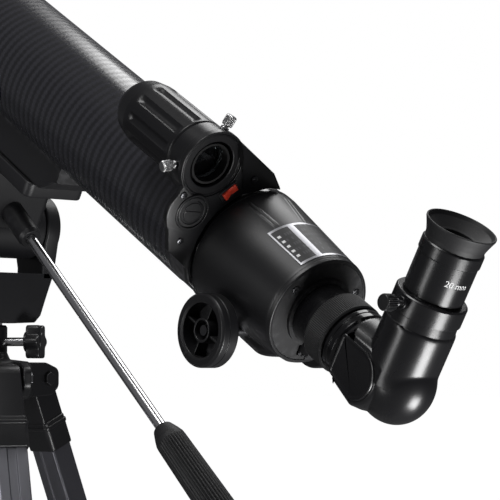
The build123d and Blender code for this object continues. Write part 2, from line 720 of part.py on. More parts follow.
with BuildPart() as tilt_block:
    block(at(tube, 0, -56.1, PIVOT_AHEAD, "down"), 46, 118, 10.4)
    block(at(tube, 0, -66.5, PIVOT_AHEAD, "down"), 2 * CHEEK_IN - 12, 40, PIVOT_BELOW - 66.5)
    ring(at(tube_pivot, -CHEEK_IN + 0.5, 0, 0, "left"), DISC_R - 1, 0, 2 * CHEEK_IN - 1)
    ring(at(handle, z=-HANDLE_SOCKET), 8, 0, HANDLE_SOCKET)
    ring(at(tube_pivot, -CHEEK_IN, 0, 0, "left"), AXLE_R + 0.06, 0, 2 * CHEEK_IN, mode=Mode.SUBTRACT)
    ring(at(handle, z=-HANDLE_SOCKET + 18), HANDLE_ROD_R + 0.06, 0, HANDLE_SOCKET, mode=Mode.SUBTRACT)
save(tilt_block, "tilt_block")

with BuildPart() as pan_rod:
    ring(at(handle, z=-HANDLE_SOCKET + 18.5), HANDLE_ROD_R, 0, HANDLE_ROD + HANDLE_SOCKET - 4)
save(pan_rod, "pan_rod")

with BuildPart() as pan_grip:
    grip_side = Plane(origin=at(handle, z=HANDLE_ROD).origin, x_dir=handle_dir, z_dir=(1, 0, 0))
    turn(
        grip_side,
        (0, HANDLE_ROD_R + 0.01),
        (0, GRIP_R - 4),
        (5, GRIP_R - 1.5),
        (GRIP_LENGTH - 18, GRIP_R),
        (GRIP_LENGTH - 5, GRIP_R - 1.5),
        (GRIP_LENGTH, GRIP_R - 5),
        (GRIP_LENGTH, 0),
        (HANDLE_SOCKET - 4, 0),
        (HANDLE_SOCKET - 4, HANDLE_ROD_R + 0.01),
    )
save(pan_grip, "pan_grip")


# ======== yoke head and azimuth post ========

with BuildPart() as mount_head:
    with BuildSketch(Plane(origin=pivot.origin, x_dir=(1, 0, 0), z_dir=(0, -1, 0))) as head_front:
        with BuildLine():
            Polyline(
                (0, HEAD_BOTTOM),
                (29, HEAD_BOTTOM),
                (33, HEAD_BOTTOM + 5),
                (CHEEK_OUT, -30),
                (CHEEK_OUT, 0),
                (CHEEK_IN, 0),
                (CHEEK_IN, -30),
                (22, -38),
                (0, -38),
                close=True,
            )
        make_face()
        mirror(about=Plane.YZ)
    extrude(head_front.sketch, amount=HEAD_HALF_DEPTH, both=True)
    for sign in (-1, 1):
        cheek = at(tube_pivot, sign * CHEEK_IN, 0, 0, "left" if sign > 0 else "right")
        ring(cheek, DISC_R, 0, CHEEK_OUT - CHEEK_IN)
    ring(at(tube_pivot, -CHEEK_OUT - 1, 0, 0, "left"), AXLE_R + 0.01, 0, 2 * CHEEK_OUT + 2, mode=Mode.SUBTRACT)
    ring(Plane.XY.offset(PIVOT_HEIGHT + HEAD_BOTTOM - 1).move(Location((COLUMN_X, COLUMN_Y, 0))),
         POST_R + 0.01, 0, 19, mode=Mode.SUBTRACT)
save(mount_head, "mount_head")

with BuildPart() as altitude_axle:
    ring(at(tube_pivot, -CHEEK_OUT - 3, 0, 0, "left"), AXLE_R, 0, 2 * CHEEK_OUT + 6)
    ring(at(tube_pivot, CHEEK_OUT + 0.2, 0, 0, "left"), 10, 0, 5)
    ring(at(tube_pivot, -CHEEK_OUT - 0.2, 0, 0, "right"), 10, 0, 5)
save(altitude_axle, "altitude_axle")

with BuildPart() as azimuth_post:
    ring(at(pivot, z=HUB_BOTTOM - 4), POST_R, 0, HEAD_BOTTOM + 17 - HUB_BOTTOM + 4)
    ring(at(pivot, z=HUB_BOTTOM - 0.4, way="rear"), POST_R + 5, 0, 4)
save(azimuth_post, "azimuth_post")


# ======== tripod crown and lock ========

with BuildPart() as tripod_crown:
    ring(at(pivot, z=HUB_BOTTOM), HUB_R, 0, HUB_TOP - HUB_BOTTOM)
    ring(at(pivot, z=HUB_TOP - 1), 12.5, 0, CROWN_TOP - HUB_TOP + 1)
    for angle in LEG_ANGLES:
        arm = spun(pivot, angle)
        ear = at(arm, HINGE_REACH - 12, 0, -HINGE_DROP)
        block(at(ear, z=-11), 44, LEG_WIDTH + 14, 22)
    for angle in LEG_ANGLES:
        arm = spun(pivot, angle)
        slot = at(arm, HINGE_REACH + 12, 0, -HINGE_DROP - 12)
        block(at(slot, z=-4), 46, LEG_WIDTH + 2.6, 40, mode=Mode.SUBTRACT)
    for angle in LEG_ANGLES:
        arm = spun(pivot, angle)
        pin = Plane(
            origin=arm.from_local_coords(Vector(HINGE_REACH, -LEG_WIDTH / 2 - 7, -HINGE_DROP)),
            x_dir=arm.x_dir,
            z_dir=arm.y_dir,
        )
        ring(pin, HINGE_R, 0, LEG_WIDTH + 14)
    ring(at(pivot, z=HUB_BOTTOM - 1), POST_R + 0.06, 0, CROWN_TOP - HUB_BOTTOM + 2, mode=Mode.SUBTRACT)
    lock_bore = Plane(
        origin=at(pivot, z=LOCK_Z).origin,
        x_dir=(0, 0, 1),
        z_dir=spun(pivot, LOCK_ANGLE).x_dir,
    )
    ring(lock_bore, 3.06, 0, 20, mode=Mode.SUBTRACT)
save(tripod_crown, "tripod_crown")

with BuildPart() as lock_knob:
    ring(at(lock_bore, z=POST_R + 0.2), 3, 0, 20)
    ring(at(lock_bore, z=26), 7, 0, 4)
    with BuildSketch(at(lock_bore, z=28)) as lobes:
        Circle(10)
        with PolarLocations(8.8, 6):
            Circle(4)
    extrude(lobes.sketch, amount=10)
save(lock_knob, "lock_knob")


# ======== tripod legs ========

def leg_plane(angle):
    """A plane at a leg's hinge: z runs down the leg, x along the hinge pin."""
    radial = spun(pivot, angle).x_dir
    spread = math.radians(LEG_SPREAD)
    hinge = pivot.origin + radial * HINGE_REACH - Vector(0, 0, HINGE_DROP)
    down = radial * math.sin(spread) - Vector(0, 0, math.cos(spread))
    return Plane(origin=hinge, x_dir=spun(pivot, angle).y_dir, z_dir=down)


HEAD_LENGTH = 52.0
SLEEVE_END = LEG_LENGTH - 34
LOWER_GAP = 0.35
LOWER_W = LEG_WIDTH - 2 * LEG_WALL - 2 * LOWER_GAP
LOWER_D = LEG_DEPTH - 2 * LEG_WALL - 2 * LOWER_GAP
for number, angle in enumerate(LEG_ANGLES, start=1):
    leg = leg_plane(angle)
    with BuildPart() as leg_head:
        block(at(leg, z=-9), LEG_WIDTH, LEG_DEPTH + 2, HEAD_LENGTH - 1)
        head_ends = leg_head.edges().filter_by(Axis(leg.origin, leg.x_dir))
        fillet(head_ends.group_by(Axis(leg.origin, leg.z_dir))[0], 8)
        block(at(leg, z=HEAD_LENGTH - 22), LEG_WIDTH + 3, LEG_DEPTH + 3, 22)
        pin_bore = at(leg, -LEG_WIDTH, 0, 0, "left")
        ring(pin_bore, HINGE_R + 0.06, 0, 2 * LEG_WIDTH, mode=Mode.SUBTRACT)
        block(at(leg, z=HEAD_LENGTH - 18), LEG_WIDTH + 0.1, LEG_DEPTH + 0.1, 19, mode=Mode.SUBTRACT)
    save(leg_head, "leg_head_" + str(number))

    with BuildPart() as leg_sleeve:
        block(at(leg, z=HEAD_LENGTH - 17.8), LEG_WIDTH, LEG_DEPTH, SLEEVE_END - HEAD_LENGTH + 17.8)
        block(at(leg, z=HEAD_LENGTH - 19), LEG_WIDTH - 2 * LEG_WALL, LEG_DEPTH - 2 * LEG_WALL,
              SLEEVE_END - HEAD_LENGTH + 20, mode=Mode.SUBTRACT)
        block(at(leg, z=SLEEVE_END - 24), LEG_WIDTH + 4, LEG_DEPTH + 4, 24.5)
        block(at(leg, z=SLEEVE_END - 25), LEG_WIDTH - 2 * LEG_WALL, LEG_DEPTH - 2 * LEG_WALL,
              27, mode=Mode.SUBTRACT)
    save(leg_sleeve, "leg_sleeve_" + str(number))

    with BuildPart() as leg_slide:
        block(at(leg, z=HEAD_LENGTH + 8), LOWER_W, LOWER_D, LEG_LENGTH - HEAD_LENGTH - 22)
    save(leg_slide, "leg_slide_" + str(number))

    foot_side = Plane(origin=leg.origin, x_dir=leg.z_dir, z_dir=leg.x_dir)
    with BuildPart() as leg_foot:
        turn(
            foot_side,
            (LEG_LENGTH - 26, 0),
            (LEG_LENGTH - 26, 13),
            (LEG_LENGTH - 6, FOOT_R),
            (LEG_LENGTH, FOOT_R),
            (LEG_LENGTH, 0),
        )
        with Locations(at(leg, z=LEG_LENGTH)):
            Sphere(FOOT_R)
        block(at(leg, z=LEG_LENGTH - 30), LOWER_W + 0.1, LOWER_D + 0.1, 16.1, mode=Mode.SUBTRACT)
        foot_shadow = Plane(origin=(leg.from_local_coords(Vector(0, 0, LEG_LENGTH)).X,
                                    leg.from_local_coords(Vector(0, 0, LEG_LENGTH)).Y, 0))
        block(at(foot_shadow, z=-20), 60, 60, 20, mode=Mode.SUBTRACT)
    save(leg_foot, "leg_foot_" + str(number))
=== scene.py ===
import json
import math

import bmesh
import bpy
import numpy as np
from mathutils import Matrix, Vector


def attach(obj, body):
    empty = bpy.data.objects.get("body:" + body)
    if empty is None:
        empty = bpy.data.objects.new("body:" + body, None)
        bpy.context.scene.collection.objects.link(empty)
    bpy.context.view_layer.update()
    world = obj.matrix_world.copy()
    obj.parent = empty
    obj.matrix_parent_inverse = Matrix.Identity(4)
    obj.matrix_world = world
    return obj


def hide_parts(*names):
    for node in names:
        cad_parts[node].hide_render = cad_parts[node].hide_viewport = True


bl_info = {
    "name": "Refractor Telescope",
    "version": (1, 0, 0),
    "blender": (4, 5, 0),
    "location": "View3D > Sidebar > Telescope",
    "description": "Dresses a small refractor telescope on its tripod",
    "category": "Object",
}

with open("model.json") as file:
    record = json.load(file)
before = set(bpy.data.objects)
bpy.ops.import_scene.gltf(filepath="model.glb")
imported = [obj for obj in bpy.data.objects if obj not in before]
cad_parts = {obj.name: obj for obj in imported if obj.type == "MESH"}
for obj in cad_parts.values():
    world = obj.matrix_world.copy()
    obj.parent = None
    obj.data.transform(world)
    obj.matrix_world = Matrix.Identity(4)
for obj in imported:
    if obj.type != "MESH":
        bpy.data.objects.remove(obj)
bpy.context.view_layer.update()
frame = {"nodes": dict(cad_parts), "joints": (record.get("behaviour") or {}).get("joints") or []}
JOINTS = {joint["name"]: joint for joint in frame["joints"]}
MM = 0.001
FULL_TURN = 2 * math.pi
UP = np.array([0.0, 0.0, 1.0])


# ---------------------------------------------------------------- places

class Base:
    """A place on the telescope: an origin in metres and three axes, used in millimetres."""

    WAYS = {
        "front": ((1, 0, 0), (0, 1, 0), (0, 0, 1)),
        "rear": ((-1, 0, 0), (0, 1, 0), (0, 0, -1)),
        "left": ((0, 0, -1), (0, 1, 0), (1, 0, 0)),
        "right": ((0, 0, 1), (0, 1, 0), (-1, 0, 0)),
        "up": ((1, 0, 0), (0, 0, -1), (0, 1, 0)),
        "down": ((1, 0, 0), (0, 0, 1), (0, -1, 0)),
    }

    def __init__(self, origin, x, y, z):
        self.origin = np.asarray(origin, float)
        self.axes = np.column_stack([x, y, z]).astype(float)

    def points(self, local):
        """World places of local points: millimetres, in an array whose last side is three."""
        return self.origin + (np.asarray(local, float) * MM) @ self.axes.T

    def at(self, x=0.0, y=0.0, z=0.0, way="front"):
        """A base at a point of this one, facing one of its six ways."""
        turned = self.axes @ np.array(self.WAYS[way], float).T
        return Base(self.points((x, y, z)), *turned.T)

    def spun(self, degrees):
        """This base turned about its own z axis."""
        turn = math.radians(degrees)
        c, s = math.cos(turn), math.sin(turn)
        x, y, z = self.axes.T
        return Base(self.origin, x * c + y * s, y * c - x * s, z)


def joint_axis(name):
    """The unit axis of a joint."""
    axis = np.array(JOINTS[name]["axis"], float)
    return axis / np.linalg.norm(axis)


def joint_base(name, up=UP):
    """A base on a joint: z along its axis and y as near to up as it can be."""
    z = joint_axis(name)
    y = up - z * (up @ z)
    y = y / np.linalg.norm(y)
    return Base(JOINTS[name]["pos_m"], np.cross(y, z), y, z)


FORWARD = -joint_axis("focus_slide")
LEFT = np.array([-1.0, 0.0, 0.0])
TUBE_UP = np.cross(FORWARD, LEFT)
NOSE_PLACE = 40.0
TUBE = Base(np.array(JOINTS["diagonal_turn"]["pos_m"]), LEFT, TUBE_UP, FORWARD).at(z=NOSE_PLACE)


def tube_place(joint):
    """Where a joint stands in the tube's own frame, in millimetres: left, up, forward."""
    return (np.array(JOINTS[joint]["pos_m"]) - TUBE.origin) @ TUBE.axes / MM


FINDER_X, FINDER_Y = tube_place("finder_aim")[:2]
PINION_Y, PINION_Z = tube_place("focus_turn")[1:]
ELBOW_Z = -71.5
ELBOW = TUBE.at(z=ELBOW_Z)
FINDER = TUBE.at(FINDER_X, FINDER_Y, 0)
PIVOT = Base(JOINTS["altitude"]["pos_m"], (1, 0, 0), (0, 1, 0), (0, 0, 1))
TILT = Base(JOINTS["altitude"]["pos_m"], LEFT, TUBE_UP, FORWARD)
HANDLE = joint_base("handle_twist")
LOCK = joint_base("azimuth_lock_turn")

# Driving sizes in millimetres; R is a radius, and X, Y and Z stand in the tube's own frame.
# LABEL_MID, LABEL_SWEEP, SWITCH_TURN and ARM_TURNS are degrees, MARK_TURN is radians, and
# LABEL_ROWS and LABEL_COLUMNS are counts. HINGE_OUT and HINGE_UP start from the tilt axle.
TUBE_R = 38.5
WRAP_THICKNESS = 0.35
RIM_R = 33.0
HOUSING_R = 39.4
HOUSING_FRONT = 69.0
BOX_HALF = 14.0
BOX_BOTTOM = -PINION_Y + 10.0
BOX_LENGTH = 50.0
LABEL_MID = 10.0
LABEL_SWEEP = 58.0
LABEL_ROWS = 7.0
LABEL_COLUMNS = 22.0
CHEEK_FLAT = 19.4
EYEPIECE_SCREW_UP = 46.5
EYEPIECE_R = 16.6
MARK_TURN = math.radians(76)
MARK_HEIGHT = 65.5
LID_X, LID_Y = 51.6, 22.7
SWITCH_X, SWITCH_Y, SWITCH_TURN = 30.9, 37.4, 131
SADDLE_Y, SADDLE_Z = -66.5, 322
YOKE_INSIDE, YOKE_OUTSIDE = 33, 44
ARM_TURNS = (-110, 10, 130)
HINGE_OUT, HINGE_UP = 40, -106
LEG_LENGTH = 590.98
FOOT_R = 12


# ---------------------------------------------------------------- shapes

def rounded(points, steps=5, closed=True):
    """An outline whose corners are arcs.

    Each point is (x, y) or (x, y, radius). A corner with a radius becomes an arc tangent to
    both its sides, and a close support point is set on each side to keep flat parts flat.
    """
    spots = [np.array(p[:2], float) for p in points]
    radii = [p[2] if len(p) > 2 else 0.0 for p in points]
    line = []
    for i, spot in enumerate(spots):
        open_end = not closed and i in (0, len(spots) - 1)
        if radii[i] <= 0 or open_end:
            line.append(spot)
            continue
        back = spots[i - 1] - spot
        ahead = spots[(i + 1) % len(spots)] - spot
        back_long, ahead_long = np.linalg.norm(back), np.linalg.norm(ahead)
        back, ahead = back / back_long, ahead / ahead_long
        half = math.acos(max(-1.0, min(1.0, float(back @ ahead)))) / 2
        if half > math.radians(89):
            line.append(spot)
            continue
        cut = min(radii[i] / math.tan(half), 0.48 * back_long, 0.48 * ahead_long)
        radius = cut * math.tan(half)
        centre = spot + (back + ahead) / np.linalg.norm(back + ahead) * radius / math.sin(half)
        start, stop = spot + back * cut - centre, spot + ahead * cut - centre
        sweep = math.atan2(start[0] * stop[1] - start[1] * stop[0], start @ stop)
        t = np.linspace(0, sweep, steps + 1)
        bend = np.column_stack([
            start[0] * np.cos(t) - start[1] * np.sin(t),
            start[0] * np.sin(t) + start[1] * np.cos(t),
        ]) + centre
        pad = min(0.35, 0.3 * radius)
        if cut + pad < 0.49 * back_long:
            line.append(spot + back * (cut + pad))
        line.extend(bend)
        if cut + pad < 0.49 * ahead_long:
            line.append(spot + ahead * (cut + pad))
    return np.array(line)


def rectangle(width, height, radius, centre=(0.0, 0.0)):
    """An outline: a rectangle with round corners."""
    w, h = width / 2, height / 2
    corners = [(w, -h, radius), (w, h, radius), (-w, h, radius), (-w, -h, radius)]
    return rounded(corners) + np.array(centre)


def signed_volume(places, quads):
    """Six times the volume inside quads, positive when they face outwards."""
    a, b, c, d = (places[quads[:, i]] for i in range(4))
    return float(np.einsum("ij,ij->", a, np.cross(b, c)) + np.einsum("ij,ij->", a, np.cross(c, d)))


def surface_map(places, wrap_rows, wrap_columns):
    """A map in metres: u is the length round the longest row, v the length from row to row."""
    grid = np.concatenate([places, places[:, :1]], axis=1) if wrap_columns else places
    grid = np.concatenate([grid, grid[:1]], axis=0) if wrap_rows else grid
    across = np.linalg.norm(np.diff(grid, axis=1), axis=2)
    u = np.concatenate([[0], np.cumsum(across[across.sum(axis=1).argmax()])])
    v = np.concatenate([[0], np.cumsum(np.linalg.norm(np.diff(grid, axis=0), axis=2).max(axis=1))])
    return np.stack(np.meshgrid(u, v), axis=-1)


def skin(name, places, wrap_rows, wrap_columns, uv=None, crease=35.0, uv_name="surface"):
    """A mesh over a grid of world places, of shape (rows, columns, 3).

    Rows or columns that wrap are joined end to end. A side that stays open is closed by one
    face across it, or by a fan where all its places meet in a pole.
    """
    rows, columns = places.shape[:2]
    index = np.arange(rows * columns).reshape(rows, columns)
    far_rows = np.roll(index, -1, axis=0) if wrap_rows else index[1:]
    near_rows = index if wrap_rows else index[:-1]
    right = np.roll(near_rows, -1, axis=1)
    far_right = np.roll(far_rows, -1, axis=1)
    grids = [near_rows, right, far_right, far_rows]
    if not wrap_columns:
        grids = [g[:, :-1] for g in grids]
    quads = np.column_stack([g.ravel() for g in grids])
    flat = places.reshape(-1, 3)
    caps = []
    if wrap_columns and not wrap_rows:
        for edge, turned in ((index[0], True), (index[-1], False)):
            if np.ptp(flat[edge], axis=0).max() > 1e-7:
                caps.append(edge[::-1].tolist() if turned else edge.tolist())
    centre = flat.mean(axis=0)
    flip = signed_volume(flat - centre, quads) < 0
    if flip:
        quads = quads[:, ::-1]
        caps = [cap[::-1] for cap in caps]
    mesh = bpy.data.meshes.new(name)
    mesh.from_pydata(flat.tolist(), [], quads.tolist() + caps)
    if uv is None:
        uv = surface_map(places, wrap_rows, wrap_columns)
    i, j = np.meshgrid(np.arange(len(near_rows)), np.arange(grids[0].shape[1]), indexing="ij")
    corners = [(i, j), (i, j + 1), (i + 1, j + 1), (i + 1, j)]
    loops = np.stack([uv[a.ravel(), b.ravel()] for a, b in corners], axis=1)
    if flip:
        loops = loops[:, ::-1]
    data = np.zeros((len(mesh.loops), 2))
    data[: loops.size // 2] = loops.reshape(-1, 2)
    layer = mesh.uv_layers.new(name=uv_name)
    layer.data.foreach_set("uv", data.ravel())
    piece = bpy.data.objects.new(name, mesh)
    bpy.context.scene.collection.objects.link(piece)
    merge_poles(mesh)
    mesh.polygons.foreach_set("use_smooth", np.ones(len(mesh.polygons), bool))
    mesh.set_sharp_from_angle(angle=math.radians(crease))
    mesh.update()
    return piece


def merge_poles(mesh):
    """Joins the places that meet in a pole and drops the faces that this empties."""
    work = bmesh.new()
    work.from_mesh(mesh)
    bmesh.ops.remove_doubles(work, verts=work.verts, dist=1e-7)
    work.to_mesh(mesh)
    work.free()


def lathe(name, base, profile, turns=96, wave=None, closed=True, steps=5, crease=35.0):
    """A surface of revolution about the base's z axis.

    A profile of (along, radius) points, its corners rounded, is turned through angle t:
    x = r sin t, y = r cos t, z = along. wave(t, along, r) may return another radius.
    """
    line = rounded(profile, steps, closed)
    t = np.linspace(0, FULL_TURN, turns, endpoint=False)
    along = line[:, :1] + 0 * t
    r = line[:, 1:] + 0 * t
    if wave is not None:
        r = wave(t[None, :] + 0 * r, along, r)
    places = base.points(np.stack([r * np.sin(t), r * np.cos(t), along], axis=-1))
    return skin(name, places, closed, True, None, crease)


def plate(name, base, outline, sides, crease=35.0):
    """An outline in the base's xy plane carried up a side profile.

    Each side point is (inset, height): the outline moves inwards by the inset, along its
    own normals, and stands at that height.
    """
    rows = [np.column_stack([inset_outline(outline, inset), np.full(len(outline), height)])
            for inset, height in sides]
    return skin(name, base.points(np.stack(rows)), False, True, None, crease)


def slab_sides(bottom, top, edge, steps=4):
    """A side profile for plate: straight walls with both edges rounded by a quarter circle."""
    t = np.linspace(0, math.pi / 2, steps + 1)
    low = [(edge * (1 - math.sin(a)), bottom + edge * (1 - math.cos(a))) for a in t]
    high = [(edge * (1 - math.cos(a)), top - edge * (1 - math.sin(a))) for a in t]
    return [(edge + 0.3, bottom)] + low + high + [(edge + 0.3, top)]


def box(name, base, width, height, bottom, top, corner=1.0, edge=0.6, centre=(0.0, 0.0)):
    """A block with round upright corners and rounded edges, standing on the base."""
    return plate(name, base, rectangle(width, height, corner, centre),
                 slab_sides(bottom, top, edge))


def bar(name, base, radius, start, stop, edge=0.4, turns=48, wave=None):
    """A solid round bar along the base's z axis with rounded ends."""
    profile = [(start, 0), (start, radius, edge), (stop, radius, edge), (stop, 0)]
    return lathe(name, base, profile, turns, wave, closed=False)


def joined(name, pieces):
    """One object made of several."""
    first = pieces[0]
    with bpy.context.temp_override(
        active_object=first, selected_objects=pieces, selected_editable_objects=pieces
    ):
        bpy.ops.object.join()
    first.name = name
    first.data.name = name
    return first


def ribs_between(count, depth, low, high, floor=0.0):
    """Straight ribs only where along lies between two values and the radius is over a floor."""
    def cut(t, along, r):
        """The radius less the depth times a raised cosine of the angle."""
        inside = (along > low) & (along < high) & (r > floor)
        return r - depth * (0.5 + 0.5 * np.cos(count * t)) ** 1.5 * inside
    return cut


# ---------------------------------------------------------------- shader groups

def new_group(name, inputs, outputs):
    """A shader group with the given sockets; each is (name, kind, default)."""
    group = bpy.data.node_groups.new(name, "ShaderNodeTree")
    for label, kind, default in inputs:
        socket = group.interface.new_socket(name=label, in_out="INPUT", socket_type=kind)
        if default is not None:
            socket.default_value = default
    for label, kind in outputs:
        group.interface.new_socket(name=label, in_out="OUTPUT", socket_type=kind)
    return group, group.nodes.new("NodeGroupInput"), group.nodes.new("NodeGroupOutput")


def add(tree, kind, settings=None, **inputs):
    """Adds a node; settings are its properties, inputs its sockets, by name or number."""
    made = tree.nodes.new(kind)
    for key, value in (settings or {}).items():
        setattr(made, key, value)
    for key, value in inputs.items():
        socket = made.inputs[int(key[1:])] if key[0] == "_" else made.inputs[key.replace("_", " ")]
        if isinstance(value, bpy.types.NodeSocket):
            tree.links.new(value, socket)
        else:
            socket.default_value = value
    return made


def sums(tree, operation, first, second=None, third=None):
    """One arithmetic node; returns its result."""
    made = tree.nodes.new("ShaderNodeMath")
    made.operation = operation
    for socket, value in zip(made.inputs, (first, second, third)):
        if isinstance(value, bpy.types.NodeSocket):
            tree.links.new(value, socket)
        elif value is not None:
            socket.default_value = value
    return made.outputs[0]


def grain_group():
    """Moulded grain: two sizes of noise give a height, a soft tone and a roughness change."""
    group, given, out = new_group(
        "Moulded Grain",
        [("Vector", "NodeSocketVector", None), ("Scale", "NodeSocketFloat", 900.0)],
        [("Height", "NodeSocketFloat"), ("Tone", "NodeSocketFloat")],
    )
    fine = add(group, "ShaderNodeTexNoise", Vector=given.outputs[0], Scale=given.outputs[1],
               Detail=3.0)
    cell = add(group, "ShaderNodeTexVoronoi", Vector=given.outputs[0], Scale=given.outputs[1])
    broad = add(group, "ShaderNodeTexNoise", Vector=given.outputs[0], Scale=28.0, Detail=4.0)
    height = sums(group, "ADD", fine.outputs[0], sums(group, "MULTIPLY", cell.outputs[0], 0.6))
    group.links.new(height, out.inputs[0])
    group.links.new(broad.outputs[0], out.inputs[1])
    return group


def wear_group():
    """Edge wear: the convex edges, broken up by noise, as a mask from none to full."""
    group, given, out = new_group(
        "Edge Wear",
        [("Vector", "NodeSocketVector", None), ("Amount", "NodeSocketFloat", 0.5)],
        [("Mask", "NodeSocketFloat")],
    )
    edge = add(group, "ShaderNodeNewGeometry")
    sharp = add(group, "ShaderNodeMapRange", Value=edge.outputs["Pointiness"])
    sharp.inputs["From Min"].default_value = 0.53
    sharp.inputs["From Max"].default_value = 0.62
    broken = add(group, "ShaderNodeTexNoise", Vector=given.outputs[0], Scale=220.0, Detail=5.0)
    patch = add(group, "ShaderNodeMapRange", Value=broken.outputs[0])
    patch.inputs["From Min"].default_value = 0.45
    patch.inputs["From Max"].default_value = 0.62
    both = sums(group, "MULTIPLY", sharp.outputs[0], patch.outputs[0])
    group.links.new(sums(group, "MULTIPLY", both, given.outputs[1]), out.inputs[0])
    return group


def dust_group():
    """Dust: fine specks and a thin film on faces that look upwards."""
    group, given, out = new_group(
        "Settled Dust",
        [("Vector", "NodeSocketVector", None), ("Amount", "NodeSocketFloat", 0.3)],
        [("Mask", "NodeSocketFloat")],
    )
    facing = add(group, "ShaderNodeNewGeometry")
    split = add(group, "ShaderNodeSeparateXYZ", Vector=facing.outputs["Normal"])
    upward = add(group, "ShaderNodeMapRange", Value=split.outputs[2])
    upward.inputs["From Min"].default_value = 0.2
    speck = add(group, "ShaderNodeTexNoise", Vector=given.outputs[0], Scale=1400.0, Detail=2.0)
    sharp = add(group, "ShaderNodeMapRange", Value=speck.outputs[0])
    sharp.inputs["From Min"].default_value = 0.62
    sharp.inputs["From Max"].default_value = 0.74
    film = add(group, "ShaderNodeTexNoise", Vector=given.outputs[0], Scale=34.0, Detail=4.0)
    cover = sums(group, "ADD", sharp.outputs[0], sums(group, "MULTIPLY", film.outputs[0], 0.25))
    shown = sums(group, "MULTIPLY", cover, upward.outputs[0])
    group.links.new(sums(group, "MULTIPLY", shown, given.outputs[1]), out.inputs[0])
    return group


def weave_group():
    """Woven tows seen as bands: bands run round the tube and swell into beads along their way.

    A band's mask is the raised sine of the length along the tube, shifted back and forth by
    the sine of the length round it, so that the bands' edges are beaded. Fibres are noise
    stretched along the tows.
    """
    group, given, out = new_group(
        "Tow Weave",
        [
            ("Vector", "NodeSocketVector", None),
            ("Bead", "NodeSocketFloat", 0.0031),
            ("Band", "NodeSocketFloat", 0.0065),
        ],
        [("Height", "NodeSocketFloat"), ("Over", "NodeSocketFloat"), ("Fibre", "NodeSocketFloat")],
    )
    split = add(group, "ShaderNodeSeparateXYZ", Vector=given.outputs[0])
    wander = add(group, "ShaderNodeTexNoise", Vector=given.outputs[0], Scale=90.0, Detail=2.0)
    shift = sums(group, "MULTIPLY", sums(group, "SUBTRACT", wander.outputs[0], 0.5), 0.0012)
    along = sums(group, "DIVIDE", sums(group, "ADD", split.outputs[1], shift), given.outputs[2])
    around = sums(group, "DIVIDE", split.outputs[0], given.outputs[1])
    band = sums(group, "SINE", sums(group, "MULTIPLY", along, FULL_TURN))
    bead = sums(group, "SINE", sums(group, "MULTIPLY", around, FULL_TURN))
    edge = sums(group, "MULTIPLY_ADD", bead, 0.35, band)
    over = add(group, "ShaderNodeMapRange", {"interpolation_type": "SMOOTHSTEP"}, Value=edge)
    over.inputs["From Min"].default_value = -0.75
    over.inputs["From Max"].default_value = 0.75
    swell = sums(group, "MULTIPLY_ADD", sums(group, "MULTIPLY", bead, over.outputs[0]), 0.3,
                 over.outputs[0])
    stretched = add(group, "ShaderNodeMapping", Vector=given.outputs[0])
    stretched.inputs["Scale"].default_value = (5200.0, 120.0, 1.0)
    fibre = add(group, "ShaderNodeTexNoise", Vector=stretched.outputs[0], Scale=1.0)
    group.links.new(swell, out.inputs[0])
    group.links.new(over.outputs[0], out.inputs[1])
    group.links.new(fibre.outputs[0], out.inputs[2])
    return group


def streak_group():
    """Streaks: noise drawn out round the piece, as turning or brushing leaves it."""
    group, given, out = new_group(
        "Turned Streaks",
        [("Vector", "NodeSocketVector", None), ("Fineness", "NodeSocketFloat", 3000.0)],
        [("Value", "NodeSocketFloat")],
    )
    split = add(group, "ShaderNodeSeparateXYZ", Vector=given.outputs[0])
    across = sums(group, "MULTIPLY", split.outputs[1], given.outputs[1])
    slow = sums(group, "MULTIPLY", split.outputs[0], 40.0)
    place = add(group, "ShaderNodeCombineXYZ", X=slow, Y=across)
    noise = add(group, "ShaderNodeTexNoise", Vector=place.outputs[0], Scale=1.0, Detail=3.0)
    group.links.new(noise.outputs[0], out.inputs[0])
    return group


GROUPS = {}


def shared(name):
    """A shader group by name, built once."""
    makers = {
        "grain": grain_group,
        "wear": wear_group,
        "dust": dust_group,
        "weave": weave_group,
        "streaks": streak_group,
    }
    if name not in GROUPS:
        GROUPS[name] = makers[name]()
    return GROUPS[name]


def place_group(tree, name, **inputs):
    """Sets a shared group in a material."""
    made = tree.nodes.new("ShaderNodeGroup")
    made.node_tree = shared(name)
    for key, value in inputs.items():
        if isinstance(value, bpy.types.NodeSocket):
            tree.links.new(value, made.inputs[key])
        else:
            made.inputs[key].default_value = value
    return made


# ---------------------------------------------------------------- materials

MATERIALS = {}


def blank(name, **shader):
    """A material with one Principled shader whose even values are set on its own sockets."""
    made = bpy.data.materials.new(name)
    made.use_nodes = True
    tree = made.node_tree
    principled = tree.nodes["Principled BSDF"]
    for key, value in shader.items():
        principled.inputs[key.replace("_", " ")].default_value = value
    return made, tree, principled


def colour_mix(tree, mask, first, second):
    """A colour between two by a mask."""
    made = tree.nodes.new("ShaderNodeMix")
    made.data_type = "RGBA"
    for socket, value in ((made.inputs[0], mask), (made.inputs[6], first),
                          (made.inputs[7], second)):
        if isinstance(value, bpy.types.NodeSocket):
            tree.links.new(value, socket)
        else:
            socket.default_value = (*value, 1.0) if isinstance(value, (tuple, list)) else value
    return made.outputs[2]


def spread(tree, value, low, high):
    """A value from none to one spread over a range."""
    made = tree.nodes.new("ShaderNodeMapRange")
    tree.links.new(value, made.inputs["Value"])
    made.inputs["To Min"].default_value = low
    made.inputs["To Max"].default_value = high
    return made.outputs[0]


def bump(tree, principled, height, strength, distance):
    """A bump from a height, on the shader's normal."""
    made = add(tree, "ShaderNodeBump", Height=height, Strength=strength, Distance=distance)
    tree.links.new(made.outputs[0], principled.inputs["Normal"])


